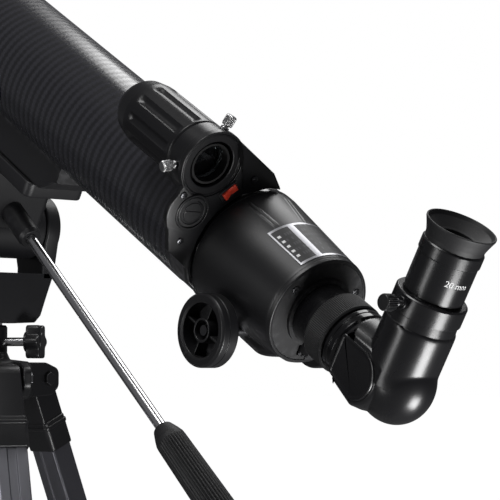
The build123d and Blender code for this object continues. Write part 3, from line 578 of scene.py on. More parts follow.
def moulded(name, colour, rough, grain, scale=1500.0, wear=0.25, dust=0.15,
            light=(0.16, 0.16, 0.17)):
    """Moulded plastic or paint: grain in the normal, uneven gloss, rubbed edges, a little dust."""
    if name in MATERIALS:
        return MATERIALS[name]
    made, tree, principled = blank(name, Roughness=rough)
    place = add(tree, "ShaderNodeTexCoord").outputs["Object"]
    tex = place_group(tree, "grain", Vector=place, Scale=scale)
    rubbed = place_group(tree, "wear", Vector=place, Amount=wear)
    film = place_group(tree, "dust", Vector=place, Amount=dust)
    toned = colour_mix(tree, spread(tree, tex.outputs["Tone"], 0.0, 0.35), colour,
                       tuple(min(1.0, c * 1.5 + 0.002) for c in colour))
    worn = colour_mix(tree, rubbed.outputs[0], toned, light)
    dusty = colour_mix(tree, film.outputs[0], worn, (0.30, 0.29, 0.28))
    tree.links.new(dusty, principled.inputs["Base Color"])
    uneven = spread(tree, tex.outputs["Tone"], rough - 0.06, rough + 0.08)
    rougher = sums(tree, "ADD", uneven, sums(tree, "MULTIPLY", film.outputs[0], 0.5))
    tree.links.new(rougher, principled.inputs["Roughness"])
    bump(tree, principled, tex.outputs["Height"], grain, 0.00006)
    MATERIALS[name] = made
    return made


def carbon_wrap():
    """Woven wrap under clear varnish: the tows turn the light two ways, and the tows that lie over
    are also given a lighter colour, a painted sheen.
    """
    made, tree, principled = blank(
        "carbon_wrap", Roughness=0.34, Coat_Weight=0.35, Coat_Roughness=0.16, Coat_IOR=1.5
    )
    surface = add(tree, "ShaderNodeUVMap", {"uv_map": "surface"}).outputs[0]
    sizes = bpy.context.scene.telescope_sizes
    cloth = place_group(tree, "weave", Vector=surface, Bead=sizes.bead_pitch, Band=sizes.band_pitch)
    place = add(tree, "ShaderNodeTexCoord").outputs["Object"]
    film = place_group(tree, "dust", Vector=place, Amount=0.12)
    finishes = bpy.context.scene.telescope_colours
    # Painted sheen: the tows that lie over are given the lighter colour, standing in for the light
    # they reflect.
    tows = colour_mix(tree, cloth.outputs["Over"], tuple(finishes.wrap_dark),
                      tuple(finishes.wrap_painted_sheen))
    threads = colour_mix(tree, spread(tree, cloth.outputs["Fibre"], 0.0, 0.25), tows,
                         (0.05, 0.05, 0.058))
    dusty = colour_mix(tree, film.outputs[0], threads, (0.20, 0.20, 0.21))
    tree.links.new(dusty, principled.inputs["Base Color"])
    uneven = spread(tree, cloth.outputs["Fibre"], 0.24, 0.40)
    lower = sums(tree, "MULTIPLY", cloth.outputs["Over"], 0.10)
    tree.links.new(sums(tree, "SUBTRACT", uneven, lower), principled.inputs["Roughness"])
    bump(tree, principled, cloth.outputs["Height"], 0.5, 0.00005)
    return made


def turned_metal(name, colour, low, high, fineness=3000.0, metallic=1.0, depth=0.00001):
    """Turned or brushed metal: streaks round the piece change its gloss and normal."""
    if name in MATERIALS:
        return MATERIALS[name]
    made, tree, principled = blank(name, Metallic=metallic)
    principled.inputs["Base Color"].default_value = (*colour, 1.0)
    surface = add(tree, "ShaderNodeUVMap", {"uv_map": "surface"}).outputs[0]
    lines = place_group(tree, "streaks", Vector=surface, Fineness=fineness)
    place = add(tree, "ShaderNodeTexCoord").outputs["Object"]
    smudge = add(tree, "ShaderNodeTexNoise", Vector=place, Scale=55.0, Detail=4.0).outputs[0]
    toned = colour_mix(tree, spread(tree, smudge, 0.0, 0.3), colour,
                       tuple(c * 0.72 for c in colour))
    tree.links.new(toned, principled.inputs["Base Color"])
    both = sums(tree, "MULTIPLY", sums(tree, "ADD", lines.outputs[0], smudge), 0.5)
    tree.links.new(spread(tree, both, low, high), principled.inputs["Roughness"])
    bump(tree, principled, lines.outputs[0], 0.4, depth)
    MATERIALS[name] = made
    return made


def lens_glass(name="lens_glass", tint=(0.90, 0.97, 1.0)):
    """Coated lens glass."""
    if name in MATERIALS:
        return MATERIALS[name]
    made, tree, principled = blank(name, Roughness=0.02, IOR=1.5, Transmission_Weight=1.0)
    place = add(tree, "ShaderNodeTexCoord").outputs["Object"]
    haze = add(tree, "ShaderNodeTexNoise", Vector=place, Scale=60.0, Detail=3.0).outputs[0]
    tree.links.new(colour_mix(tree, spread(tree, haze, 0.0, 0.4), tint, (0.82, 0.93, 1.0)),
                   principled.inputs["Base Color"])
    tree.links.new(spread(tree, haze, 0.01, 0.05), principled.inputs["Roughness"])
    MATERIALS[name] = made
    return made


def label_print():
    """A printed film: silver edge, white bars and black blocks, laid out on the surface map.

    The map runs from none to one both ways over the label. Rows and columns are cut by
    rounding, and which blocks are black follows from noise on the cell numbers.
    """
    made, tree, principled = blank("label_print", Roughness=0.32, Metallic=0.0)
    surface = add(tree, "ShaderNodeUVMap", {"uv_map": "label"}).outputs[0]
    split = add(tree, "ShaderNodeSeparateXYZ", Vector=surface)
    u, v = split.outputs[0], split.outputs[1]

    def within(value, low, high):
        """One between two limits, none elsewhere."""
        above = sums(tree, "GREATER_THAN", value, low)
        return sums(tree, "MULTIPLY", above, sums(tree, "LESS_THAN", value, high))

    def either(first, second):
        """One where either mask is."""
        return sums(tree, "MAXIMUM", first, second)

    row = sums(tree, "MULTIPLY", v, LABEL_ROWS)
    column = sums(tree, "MULTIPLY", u, LABEL_COLUMNS)
    cell = add(tree, "ShaderNodeCombineXYZ", X=sums(tree, "FLOOR", column),
               Y=sums(tree, "FLOOR", row))
    choice = add(tree, "ShaderNodeTexWhiteNoise", {"noise_dimensions": "2D"},
                 Vector=cell.outputs[0])
    in_cell = sums(tree, "MULTIPLY", within(sums(tree, "FRACT", row), 0.25, 0.75),
                   within(sums(tree, "FRACT", column), 0.2, 0.85))
    dash = sums(tree, "MULTIPLY", in_cell, sums(tree, "GREATER_THAN", choice.outputs[0], 0.45))
    edge = sums(tree, "SUBTRACT", 1.0, sums(tree, "MULTIPLY", within(u, 0.02, 0.975),
                                            within(v, 0.05, 0.95)))
    bars = either(edge, within(u, 0.555, 0.665))
    bright = sums(tree, "MULTIPLY", within(u, 0.885, 0.94),
                  sums(tree, "MULTIPLY", within(sums(tree, "FRACT", row), 0.3, 0.7),
                       within(v, 0.12, 0.88)))
    field = colour_mix(tree, dash, (0.004, 0.004, 0.005), (0.035, 0.035, 0.04))
    silver = colour_mix(tree, bars, field, (0.42, 0.42, 0.44))
    shown = colour_mix(tree, bright, silver, (0.88, 0.88, 0.88))
    tree.links.new(shown, principled.inputs["Base Color"])
    tree.links.new(sums(tree, "MULTIPLY", bars, 0.75), principled.inputs["Metallic"])
    tree.links.new(spread(tree, bars, 0.48, 0.3), principled.inputs["Roughness"])
    return made


def plastic(share):
    """The black of the mouldings, deeper or paler by a share."""
    return tuple(share * c for c in bpy.context.scene.telescope_colours.plastic)


def matt_black_with_painted_shade():
    """Matt black, as inside a finder, made extra dark as painted shade in the finder's bore."""
    return moulded("matt_black_with_painted_shade", plastic(0.3), 0.8, 0.2, wear=0.0, dust=0.0)


def black_plastic():
    """The common black moulding."""
    return moulded("black_plastic", plastic(1.0), 0.36, 0.10)


def satin_paint():
    """Satin black paint on tube metal."""
    return moulded("satin_paint", plastic(1.8), 0.38, 0.12, scale=700.0)


def gloss_black():
    """Smooth shiny black."""
    return moulded("gloss_black", plastic(0.7), 0.12, 0.02, wear=0.1, dust=0.08)


def dull_black_with_painted_shade():
    """Dull black with a coarse grain, made darker than the common black as painted shade over the
    recessed rear of the tube.
    """
    return moulded("dull_black_with_painted_shade", plastic(0.8), 0.55, 0.25, scale=2200.0)


def rubber():
    """Dusty black rubber."""
    return moulded("rubber", (0.007, 0.007, 0.008), 0.56, 0.3, scale=2600.0, wear=0.1, dust=0.3)


def grey_cast():
    """Painted casting of the mount."""
    return moulded("grey_cast", plastic(1.6), 0.44, 0.2, scale=900.0, light=(0.22, 0.22, 0.23))


def red_plastic():
    """The switch's red plastic."""
    switch = tuple(bpy.context.scene.telescope_colours.switch)
    return moulded("red_plastic", switch, 0.3, 0.04, wear=0.1, light=(0.8, 0.25, 0.2))


def chrome():
    """Bright plating."""
    return turned_metal("chrome", (0.80, 0.80, 0.81), 0.16, 0.24, fineness=900.0, depth=0.0)


def dark_steel():
    """Blackened steel."""
    return turned_metal("dark_steel", (0.10, 0.10, 0.105), 0.28, 0.42)


def screw_metal():
    """Plain bright screws."""
    return turned_metal("screw_metal", (0.78, 0.78, 0.78), 0.16, 0.34, fineness=900.0,
                        depth=0.000002)


def dark_aluminium():
    """Dark anodised leg tubes."""
    return turned_metal("dark_aluminium", (0.20, 0.20, 0.22), 0.28, 0.45, fineness=1800.0)


def gloss_plastic():
    """The diagonal's and eyepiece's smooth plastic."""
    return moulded("gloss_plastic", plastic(0.9), 0.26, 0.03, wear=0.12, dust=0.1)


def satin_plastic():
    """The finder's plastic."""
    return moulded("satin_plastic", plastic(1.0), 0.30, 0.06, wear=0.18, dust=0.12)


def white_print():
    """White printed marks."""
    return moulded("white_print", (0.78, 0.78, 0.78), 0.5, 0.02, wear=0.0, dust=0.0,
                   light=(0.8, 0.8, 0.8))


def finish(piece, body, material, slot, *nodes):
    """Gives a piece its material, its body and the nodes it replaces. The slot argument is not
    used.
    """
    piece.data.materials.clear()
    piece.data.materials.append(material)
    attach(piece, body)
    if nodes:
        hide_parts(*nodes)
    return piece


# ---------------------------------------------------------------- more shapes

def loft(name, base, stack, crease=35.0):
    """Outlines of one count, stacked: an array (rows, points, 3) in the base's millimetres."""
    return skin(name, base.points(stack), False, True, None, crease)


def hollow_plate(name, base, outline, wall, bottom, top, edge=0.4):
    """A frame that follows an outline: its wall stands inside the outline between two heights."""
    sides = [(0, bottom), (0, top - edge), (edge * 0.3, top - edge * 0.3), (edge, top),
             (wall - edge, top), (wall - edge * 0.3, top - edge * 0.3), (wall, top - edge),
             (wall, bottom)]
    rows = [np.column_stack([inset_outline(outline, inset), np.full(len(outline), height)])
            for inset, height in sides]
    return skin(name, base.points(np.stack(rows)), True, True)


def inset_outline(outline, inset):
    """An outline moved inwards along its own normals."""
    ahead = np.roll(outline, -1, axis=0) - np.roll(outline, 1, axis=0)
    normal = np.column_stack([ahead[:, 1], -ahead[:, 0]])
    normal /= np.maximum(np.linalg.norm(normal, axis=1, keepdims=True), 1e-9)
    x, y = outline.T
    area = float(np.sum(x * np.roll(y, -1) - np.roll(x, -1) * y))
    return outline - normal * inset * math.copysign(1.0, area)


def arc(centre, radius, start, stop, count=24):
    """Points on a circle between two angles in degrees, from x towards y."""
    t = np.radians(np.linspace(start, stop, count))
    return [(centre[0] + radius * math.cos(a), centre[1] + radius * math.sin(a)) for a in t]


def soft_min(a, b, sharp=40.0):
    """The smaller of two positive values, with a rounded change from one to the other."""
    return (a ** -sharp + b ** -sharp) ** (-1 / sharp)


def soft_max(a, b, width):
    """The larger of two values, blended over a width."""
    share = np.clip(0.5 + 0.5 * (b - a) / width, 0, 1)
    return a + (b - a) * share + width * share * (1 - share)


def ease(value):
    """A value from none to one, with level ends."""
    value = np.clip(value, 0, 1)
    return value * value * (3 - 2 * value)


def pan_screw(name, base, radius, height=1.3):
    """A pan-head screw: a domed lathe whose top is pressed down in a cross."""
    count, rows = 40, 9
    t = np.linspace(0, FULL_TURN, count, endpoint=False)
    reach = np.linspace(radius * 0.98, 0.0, rows)
    dome = height * np.sqrt(np.clip(1 - 0.55 * (reach / radius) ** 2, 0, 1))
    reach = np.concatenate([[0.0, radius, radius], reach])
    rise = np.concatenate([[-0.2, -0.2, dome[0] * 0.8], dome])
    x = reach[:, None] * np.sin(t)
    y = reach[:, None] * np.cos(t)
    slot = np.minimum(np.abs(x), np.abs(y)) < radius * 0.17
    near = np.hypot(x, y) < radius * 0.62
    z = rise[:, None] - 0.5 * height * (slot & near & (rise[:, None] > 0.2))
    return loft(name, base, np.stack([x, y, z], axis=-1), 30.0)


def knurled_head(name, base, radius, start, stop, count=26, depth=0.35):
    """A thumb screw's head: a short bar with round edges and straight ribs between them."""
    profile = [(start, 0), (start, radius - 0.5, 0.4), (start + 0.8, radius, 0.3),
               (stop - 0.8, radius, 0.3), (stop, radius - 0.6, 0.4), (stop, 0)]
    wave = ribs_between(count, depth, start + 0.6, stop - 0.6, radius * 0.8)
    return lathe(name, base, dense(profile, 1.2), count * 8, wave, closed=False)


def dense(profile, step, closed=False):
    """A profile with more points on its long runs, so that a wave along it shows."""
    filled = []
    last = len(profile) if closed else len(profile) - 1
    for i in range(last):
        start, stop = profile[i], profile[(i + 1) % len(profile)]
        filled.append(start)
        length = math.hypot(stop[0] - start[0], stop[1] - start[1])
        parts = int(length / step)
        filled.extend(
            (start[0] + (stop[0] - start[0]) * k / parts,
             start[1] + (stop[1] - start[1]) * k / parts)
            for k in range(1, parts)
        )
    if not closed:
        filled.append(profile[-1])
    return filled


# ---------------------------------------------------------------- tube and housing

def build_tube():
    """Four lathes on the tube's axis: the wall, the wrap just over it, the dew shield with a
    groove near its mouth, and the band where the tube meets its housing."""
    shell = lathe("tube_shell", TUBE,
                  [(69.2, 37.3), (588, 37.3), (588, TUBE_R), (69.2, TUBE_R)], 160)
    finish(shell, "optical_tube", satin_paint(), "black_paint", "main_tube")
    under, over = TUBE_R + 0.02, TUBE_R + WRAP_THICKNESS
    wrap = lathe("tube_wrap", TUBE,
                 [(97, under), (568, under), (568, over), (97, over, 0.25)], 192)
    finish(wrap, "optical_tube", carbon_wrap(), "carbon_wrap")
    shield = lathe("dew_shield_shell", TUBE, [
        (566, 43.1), (642, 43.1, 0.5), (642, 44.5, 0.6), (639.8, 44.5, 0.2), (639.4, 44.1, 0.2),
        (638.6, 44.1, 0.2), (638.2, 44.5, 0.2), (570, 44.5, 0.6), (566, 43.8, 0.5)], 160)
    finish(shield, "optical_tube", satin_paint(), "black_paint", "dew_shield")
    band = lathe("tube_end_band", TUBE, [
        (69.1, 38.6), (69.1, 39.4, 0.4), (73.6, 39.4, 0.9), (75, 38.9, 0.3), (75, 38.6)], 160)
    finish(band, "optical_tube", gloss_black(), "gloss_black", "rear_ring")


def housing_wave(t, along, r):
    """The housing's outside: a cone, the gear box under it and thin raised lines on top.

    The box is a superellipse of half-width BOX_HALF and depth BOX_BOTTOM, blended into the
    cone and faded out ahead of BOX_LENGTH. The lines are narrow bell curves across t.
    """
    cone = RIM_R + (HOUSING_R - RIM_R) * along / HOUSING_FRONT
    outside = (r > cone - 1.0) & (along < HOUSING_FRONT - 0.2)
    corner = 5.0
    deep = RIM_R - 1 + (BOX_BOTTOM - RIM_R + 1) * ease(along / 26.0)
    box_r = ((np.abs(np.sin(t)) / BOX_HALF) ** corner
             + (np.abs(np.cos(t)) / deep) ** corner) ** (-1 / corner)
    fade = ease((BOX_LENGTH - along) / 9.0)
    bulge = np.where(np.cos(t) < 0, r - 3 + (box_r - r + 3) * fade, 0)
    shaped = soft_max(r, bulge, 1.8)
    degrees = (np.degrees(t) + 180) % 360 - 180
    run = (along - 38.0) / 30.0
    lines = 0
    for angle in (29 + 3 * run, 25 + 3 * run, -1 - 9 * run, -5 - 9 * run):
        away = r * np.radians(degrees - angle)
        lines = lines + 0.32 * np.exp(-((away / 0.42) ** 2))
    lines = lines * ease((along - 38) / 2.5) * ease((66 - along) / 2.5)
    return np.where(outside, shaped + lines, r)


def build_housing():
    """The housing is a lathe shaped by housing_wave, with three screws in its rear cover.

    The label is a thin closed strip over the cone: it runs forward 0.3 above the cone and
    back 0.05 above it, while its angle sweeps about the label's middle.
    """
    outer = dense([(3.4, 33.3), (69, HOUSING_R, 0.4)], 1.4)
    profile = [(0, 31, 0.3), (0, 32.9, 0.6), (2.2, 33.35, 0.3), (2.6, 33.05, 0.15)] + outer + [
        (69, 37.2), (85, 37.2, 0.3), (85, 35.2), (61, 35.2), (3, 30.4), (3, 31)]
    housing = lathe("housing_shell", TUBE, profile, 560, housing_wave)
    finish(housing, "optical_tube", black_plastic(), "black_plastic", "focuser_housing")
    screws = []
    for angle in (30, 150, 270):
        turn = math.radians(angle)
        seat = TUBE.at(26 * math.cos(turn), 26 * math.sin(turn), 0.6, "rear")
        screws.append(pan_screw("cover_screw", seat, 2.4, 1.0))
    finish(joined("cover_screws", screws), "optical_tube", dark_steel(), "plain_steel")
    t = np.radians(np.linspace(LABEL_MID - LABEL_SWEEP / 2, LABEL_MID + LABEL_SWEEP / 2, 60))
    v = np.concatenate([np.linspace(0, 1, 20), np.linspace(1, 0, 20)])
    lift = np.concatenate([np.full(20, 0.3), np.full(20, 0.05)])
    along = 5 + 32 * v
    r = RIM_R + (HOUSING_R - RIM_R) * along / HOUSING_FRONT + lift
    r = r[None, :] + 0 * t[:, None]
    grid = np.stack([r * np.sin(t)[:, None], r * np.cos(t)[:, None], along + 0 * r], axis=-1)
    u = np.linspace(0, 1, 60)
    uv = np.stack(np.meshgrid(np.append(v, v[0]), u), axis=-1)[..., ::-1]
    label = skin("housing_label", TUBE.points(grid), False, True, uv, 35.0, "label")
    finish(label, "optical_tube", label_print(), "label_film", "spec_label")


# ---------------------------------------------------------------- drawtube, ring and knobs

def build_drawtube():
    """A plain sleeve, and its lock ring: a lathe whose middle is cut by straight ribs."""
    draw = lathe("drawtube_sleeve", TUBE, [
        (-23, 16.3), (96, 16.3), (96, 18.6, 0.4), (-23, 18.6, 0.5)], 128)
    finish(draw, "focus_tube", gloss_black(), "gloss_black", "drawtube")
    profile = [(-31, 16), (-31, 20.5, 0.4), (-30, 21.4, 0.4)]
    profile += dense([(-29.6, 21.4), (-17, 21.4)], 1.4)
    profile += [(-16.4, 21.4, 0.4), (-15.5, 20.6, 0.4), (-15.5, 18.7), (-23.3, 18.7), (-23.3, 16)]
    ring = lathe("drawtube_lock_ring", TUBE, profile, 840, ribs_between(120, 0.4, -29.7, -16.6, 20))
    finish(ring, "lock_ring", dull_black_with_painted_shade(), "black_plastic", "drawtube_ring")


def build_knobs():
    """Each focus wheel: a lathed rim with a groove, a floor, a hub and four straight spokes."""
    for side, sign in (("left", 1), ("right", -1)):
        base = TUBE.at(sign * 37, PINION_Y, PINION_Z, side)
        rim = lathe("rim", base, [
            (0, 15.4, 0.4), (0, 20.2, 0.9), (1.2, 21, 0.7), (6.4, 21, 0.2), (6.7, 20.6, 0.2),
            (7.2, 20.6, 0.2),
            (7.5, 21, 0.2), (10.8, 21, 1.0), (11.8, 19.6, 0.8), (11.8, 16.8, 0.5), (11, 15.4, 0.5)],
            160)
        floor = lathe("floor", base, [(0.6, 0), (0.6, 16), (2.2, 16), (2.2, 0)], 72, closed=False)
        hub = lathe("hub", base, [
            (2, 0), (2, 7.4, 0.3), (10.6, 7.0, 0.6), (10.6, 5.6, 0.5), (4.0, 5.2, 0.2), (4.0, 0)],
            72, closed=False)
        spokes = [
            box("spoke", base.spun(90 * k), 9.4, 1.3, 2.0, 9.4, 0.3, 0.4, (11.4, 0))
            for k in range(4)
        ]
        knob = joined("focus_wheel_" + side, [rim, floor, hub] + spokes)
        finish(knob, "focus_pinion", black_plastic(), "black_plastic", "focus_knob_" + side)


# ---------------------------------------------------------------- diagonal and eyepiece

def elbow_surface(name):
    """A flattened ball joined to two stubs that meet in a mitre, cut flat on one side.

    In the direction (cos a, sin a cos b, sin a sin b) the skin lies at the softened largest
    of the ball's reach and each stub's wall, r / sin(angle off its axis), capped at its
    length / cos(angle), and then at the softened smallest of that and the flat's plane.
    """
    a = np.linspace(0, math.pi, 170)[:, None]
    b = np.linspace(0, FULL_TURN, 320, endpoint=False)[None, :]
    x, y, z = np.cos(a) + 0 * b, np.sin(a) * np.cos(b), np.sin(a) * np.sin(b)

    def stub(facing, radius, length):
        """How far a stub's skin lies in a direction, by the cosine of its angle off the axis."""
        wall = radius / np.sqrt(np.maximum(1 - facing ** 2, 1e-6))
        cap = length / np.maximum(facing, 1e-3)
        return np.where(facing > 0, soft_min(np.minimum(wall, 200), np.minimum(cap, 200)), 1.0)

    ball = ((x / 19.3) ** 2 + (y / 24.0) ** 2 + (z / 24.0) ** 2) ** -0.5
    far = soft_max(stub(z, 21.0, 30.2), stub(y, 20.0, 36.0), 0.5)
    far = soft_max(ball, far, 0.7)
    flat = CHEEK_FLAT + 4 * ease((y * far - 8) / 8)
    far = np.where(x > 0.05, np.minimum(far, flat / np.maximum(x, 0.05)), far)
    return skin(name, ELBOW.points(np.stack([x * far, y * far, z * far], axis=-1)), False, True)


def cheek_outline(radius):
    """The raised side of the diagonal: round behind, drawn in a little towards the nose."""
    line = [(x - 11.5, y - 3.0) for x, y in arc((0, 0), radius, -84, 84, 48)]
    far = -29.6
    half = 0.85 * radius if radius > 20 else 0.78 * radius
    return rounded(line + [(far, half, 2.0), (far, -half - 1.0, 3.0)])


def build_diagonal():
    """Lathes for the nose, its flange and the eyepiece collar, the elbow's own surface, the
    raised side and its lid, which are outlines of one kind carried up stepped side profiles,
    and the thumb screw that holds the eyepiece."""
    flange = lathe("nose_flange", TUBE, [
        (-41, 13.6), (-32.2, 13.6), (-32.2, 20.2, 0.5), (-33.2, 20.8, 0.4), (-35.4, 20.8, 0.2),
        (-35.8, 20.4, 0.15), (-36.4, 20.4, 0.15), (-36.8, 20.8, 0.2), (-39.6, 20.8, 0.6),
        (-41, 19.4, 0.4)], 128)
    finish(flange, "diagonal", gloss_black(), "gloss_black")
    nose = lathe("nose_barrel", TUBE, [
        (-32.4, 14.4), (0, 14.4), (0, 15.3, 0.3), (-0.6, 15.875, 0.3), (-32.4, 15.875)], 96)
    finish(nose, "diagonal", chrome(), "bright_chrome", "diagonal_nose")
    ball = elbow_surface("ball")
    up = ELBOW.at(way="up")
    neck = lathe("neck", up, [
        (30, 16), (30, 19.9), (36, 19.2, 2), (40.9, 19.0, 0.2), (41.2, 20, 0.4),
        (51.2, 20, 0.5), (52, 19.2, 0.5), (52, 16.4, 0.3), (51, 16)], 128)
    boss = bar("boss", ELBOW.at(17.5, EYEPIECE_SCREW_UP, 0, "left"), 3.6, 0, 3.7, 0.6)
    side = ELBOW.at(way="left")
    edge = [(0, 0), (0.6, 6), (1.6, 11), (2.9, 15), (4.1, 17.6), (4.9, 18.7), (5.7, 19.2),
            (6.6, CHEEK_FLAT)]
    cheek = plate("cheek", side, cheek_outline(21.5), edge)
    body = joined("diagonal_housing", [ball, neck, boss, cheek])
    finish(body, "diagonal", gloss_plastic(), "black_plastic", "diagonal_body")
    lid = plate("diagonal_lid", side.at(z=19.2), cheek_outline(14.6), [
        (0.3, 0), (0, 0.3), (0, 0.5), (0.2, 0.9), (0.7, 1.1), (1.4, 1.1), (1.9, 0.85), (2.3, 0.8),
        (3, 0.8)])
    finish(lid, "diagonal", gloss_plastic(), "black_plastic", "diagonal_cover")
    seat = ELBOW.at(16.1, EYEPIECE_SCREW_UP, 0, "left")
    shank = joined("eyepiece_screw_shank", [
        bar("shank", seat, 1.5, 0, 8.6, 0.3, 32), bar("washer", seat, 2.3, 6.9, 10.6, 0.5, 32)])
    finish(shank, "eyepiece_screw", chrome(), "bright_chrome", "diagonal_screw")
    head = knurled_head("eyepiece_screw_head", seat, 4.6, 10.4, 17.6, 28, 0.45)
    finish(head, "eyepiece_screw", black_plastic(), "black_plastic")


def build_eyepiece():
    """Two lathes, the body and its eyecup, and the focal length printed round the body.

    The print is flat text bent onto the barrel: its x becomes an angle, x / radius, its
    depth a step outwards, and its y a height along the barrel.
    """
    up = ELBOW.at(way="up")
    body = lathe("eyepiece_housing", up, [
        (52.3, 16), (52.3, 16.2, 0.2), (53, EYEPIECE_R, 0.3), (74.4, EYEPIECE_R, 0.3),
        (74.9, 17.2, 0.3),
        (81.2, 17.2, 0.5), (82, 16.4, 0.3), (82, 15.6, 0.3), (84, 15.6), (84, 9), (54.9, 9),
        (54.9, 16)], 128)
    finish(body, "eyepiece", gloss_plastic(), "black_plastic", "eyepiece_body")
    cup = lathe("eyecup_rubber", up, [
        (81.8, 14), (81.8, 16.2, 0.4), (84.6, 16.6, 2), (88, 17.8, 3), (91.6, 19.3, 0.5),
        (92.7, 19.4, 0.4),
        (92.7, 18.5, 0.4), (90.6, 17.2, 1.2), (86.6, 11.0, 0.8), (86.0, 9.6, 0.4), (84.1, 9.6),
        (84.1, 14)], 128)
    finish(cup, "eyepiece", rubber(), "black_rubber", "eyecup")
    curve = bpy.data.curves.new("focal_mark", "FONT")
    curve.body = "20 mm"
    curve.size = bpy.context.scene.telescope_sizes.mark_height
    curve.extrude = 0.06
    curve.align_x, curve.align_y = "CENTER", "CENTER"
    text = bpy.data.objects.new("focal_text", curve)
    bpy.context.scene.collection.objects.link(text)
    bpy.context.view_layer.update()
    mesh = bpy.data.meshes.new_from_object(text)
    bpy.data.objects.remove(text)
    flat = np.zeros(len(mesh.vertices) * 3)
    mesh.vertices.foreach_get("co", flat)
    flat = flat.reshape(-1, 3)
    turn = MARK_TURN + flat[:, 0] / EYEPIECE_R
    r = EYEPIECE_R + 0.02 + flat[:, 2]
    places = up.points(np.column_stack([r * np.cos(turn), r * np.sin(turn),
                                        MARK_HEIGHT + flat[:, 1]]))
    mesh.vertices.foreach_set("co", places.ravel())
    mesh.update()
    mark = bpy.data.objects.new("focal_mark", mesh)
    bpy.context.scene.collection.objects.link(mark)
    finish(mark, "eyepiece", white_print(), "label_film")


# ---------------------------------------------------------------- finder and bracket

def flute_wave(t, along, r):
    """Ten hollow flutes along the finder, fading out at both ends."""
    run = ease((along - 89) / 3) * ease((132 - along) / 4)
    hollow = np.clip(-np.cos(10 * t), 0, 1) ** 0.8
    return r - bpy.context.scene.telescope_sizes.flute_depth * hollow * run * (r > 18.5)


def build_finder():
    """A lathe with hollow flutes for the body, a lathe for the collar, and two thumb screws
    that stand out of the collar along its radius."""
    profile = [(86.1, 15.7), (86.1, 18.6, 0.4), (87.4, 19.5,
                                                 0.7)] + dense([(88.4, 19.5), (133, 19.5)], 1.6)
    profile += [(136, 19.3, 4), (145, 17.6, 4), (150, 14.4, 1.2), (150, 13, 0.4), (145, 13),
                (145, 15.7)]
    shell = lathe("finder_body", FINDER, profile, 480, flute_wave)
    finish(shell, "optical_tube", satin_plastic(), "black_plastic", "finder_shell")
    collar = lathe("finder_collar_ring", FINDER, [
        (71.2, 14.0, 0.6), (71.2, 18.2, 0.3), (70.6, 18.6, 0.3), (70.6, 19.1, 0.3),
        (71.2, 19.5, 0.4),
        (85.2, 19.5, 0.4), (86, 18.8, 0.3), (86, 15.7), (75, 15.7), (73.4, 14.0, 0.4)], 128)
    finish(collar, "optical_tube", satin_plastic(), "black_plastic", "finder_collar")
    for side, angle, body in (("top", -16, "finder_screw_a"), ("left", 104, "finder_screw_b")):
        radial = FINDER.at(z=78.5).spun(-angle).at(way="up")
        parts = [
            bar("shank", radial, 1.5, 12.9, 24.6, 0.3, 32),
            bar("nut", radial, 2.5, 19.6, 21.4, 0.4, 32),
            knurled_head("head", radial, 3.2, 22.2, 28.7, 20, 0.35),
        ]
        screw = joined("finder_thumb_screw_" + side, parts)
        finish(screw, body, screw_metal(), "plain_steel", "finder_screw_" + side)


def arch_strip(name, outer, radius, bottom, top, edge=0.7):
    """A plate between a round arch and an outer line: each outer point is joined to the arch
    point at its own angle about the tube, and the section between them has round edges."""
    angle = np.minimum.accumulate(np.arctan2(outer[:, 1], outer[:, 0]))
    inner = radius * np.column_stack([np.cos(angle), np.sin(angle)])
    across = outer - inner
    reach = np.maximum(np.linalg.norm(across, axis=1, keepdims=True), 1e-6)
    across = across / reach
    edge = np.minimum(edge, reach * 0.4)
    t = np.linspace(0, math.pi / 2, 5)
    loop = []
    for turn in t:
        loop.append((inner + across * edge * (1 - math.sin(turn)),
                     bottom + edge * (1 - math.cos(turn))))
    for turn in t:
        loop.append((inner + across * edge * (1 - math.cos(turn)),
                     top - edge * (1 - math.sin(turn))))
    for turn in t:
        loop.append((outer - across * edge * (1 - math.sin(turn)),
                     top - edge * (1 - math.cos(turn))))
    for turn in t:
        loop.append((outer - across * edge * (1 - math.cos(turn)),
                     bottom + edge * (1 - math.sin(turn))))
    grid = np.stack([np.column_stack([spot, height[:, 0]]) for spot, height in loop], axis=1)
    return skin(name, TUBE.points(grid), False, True)


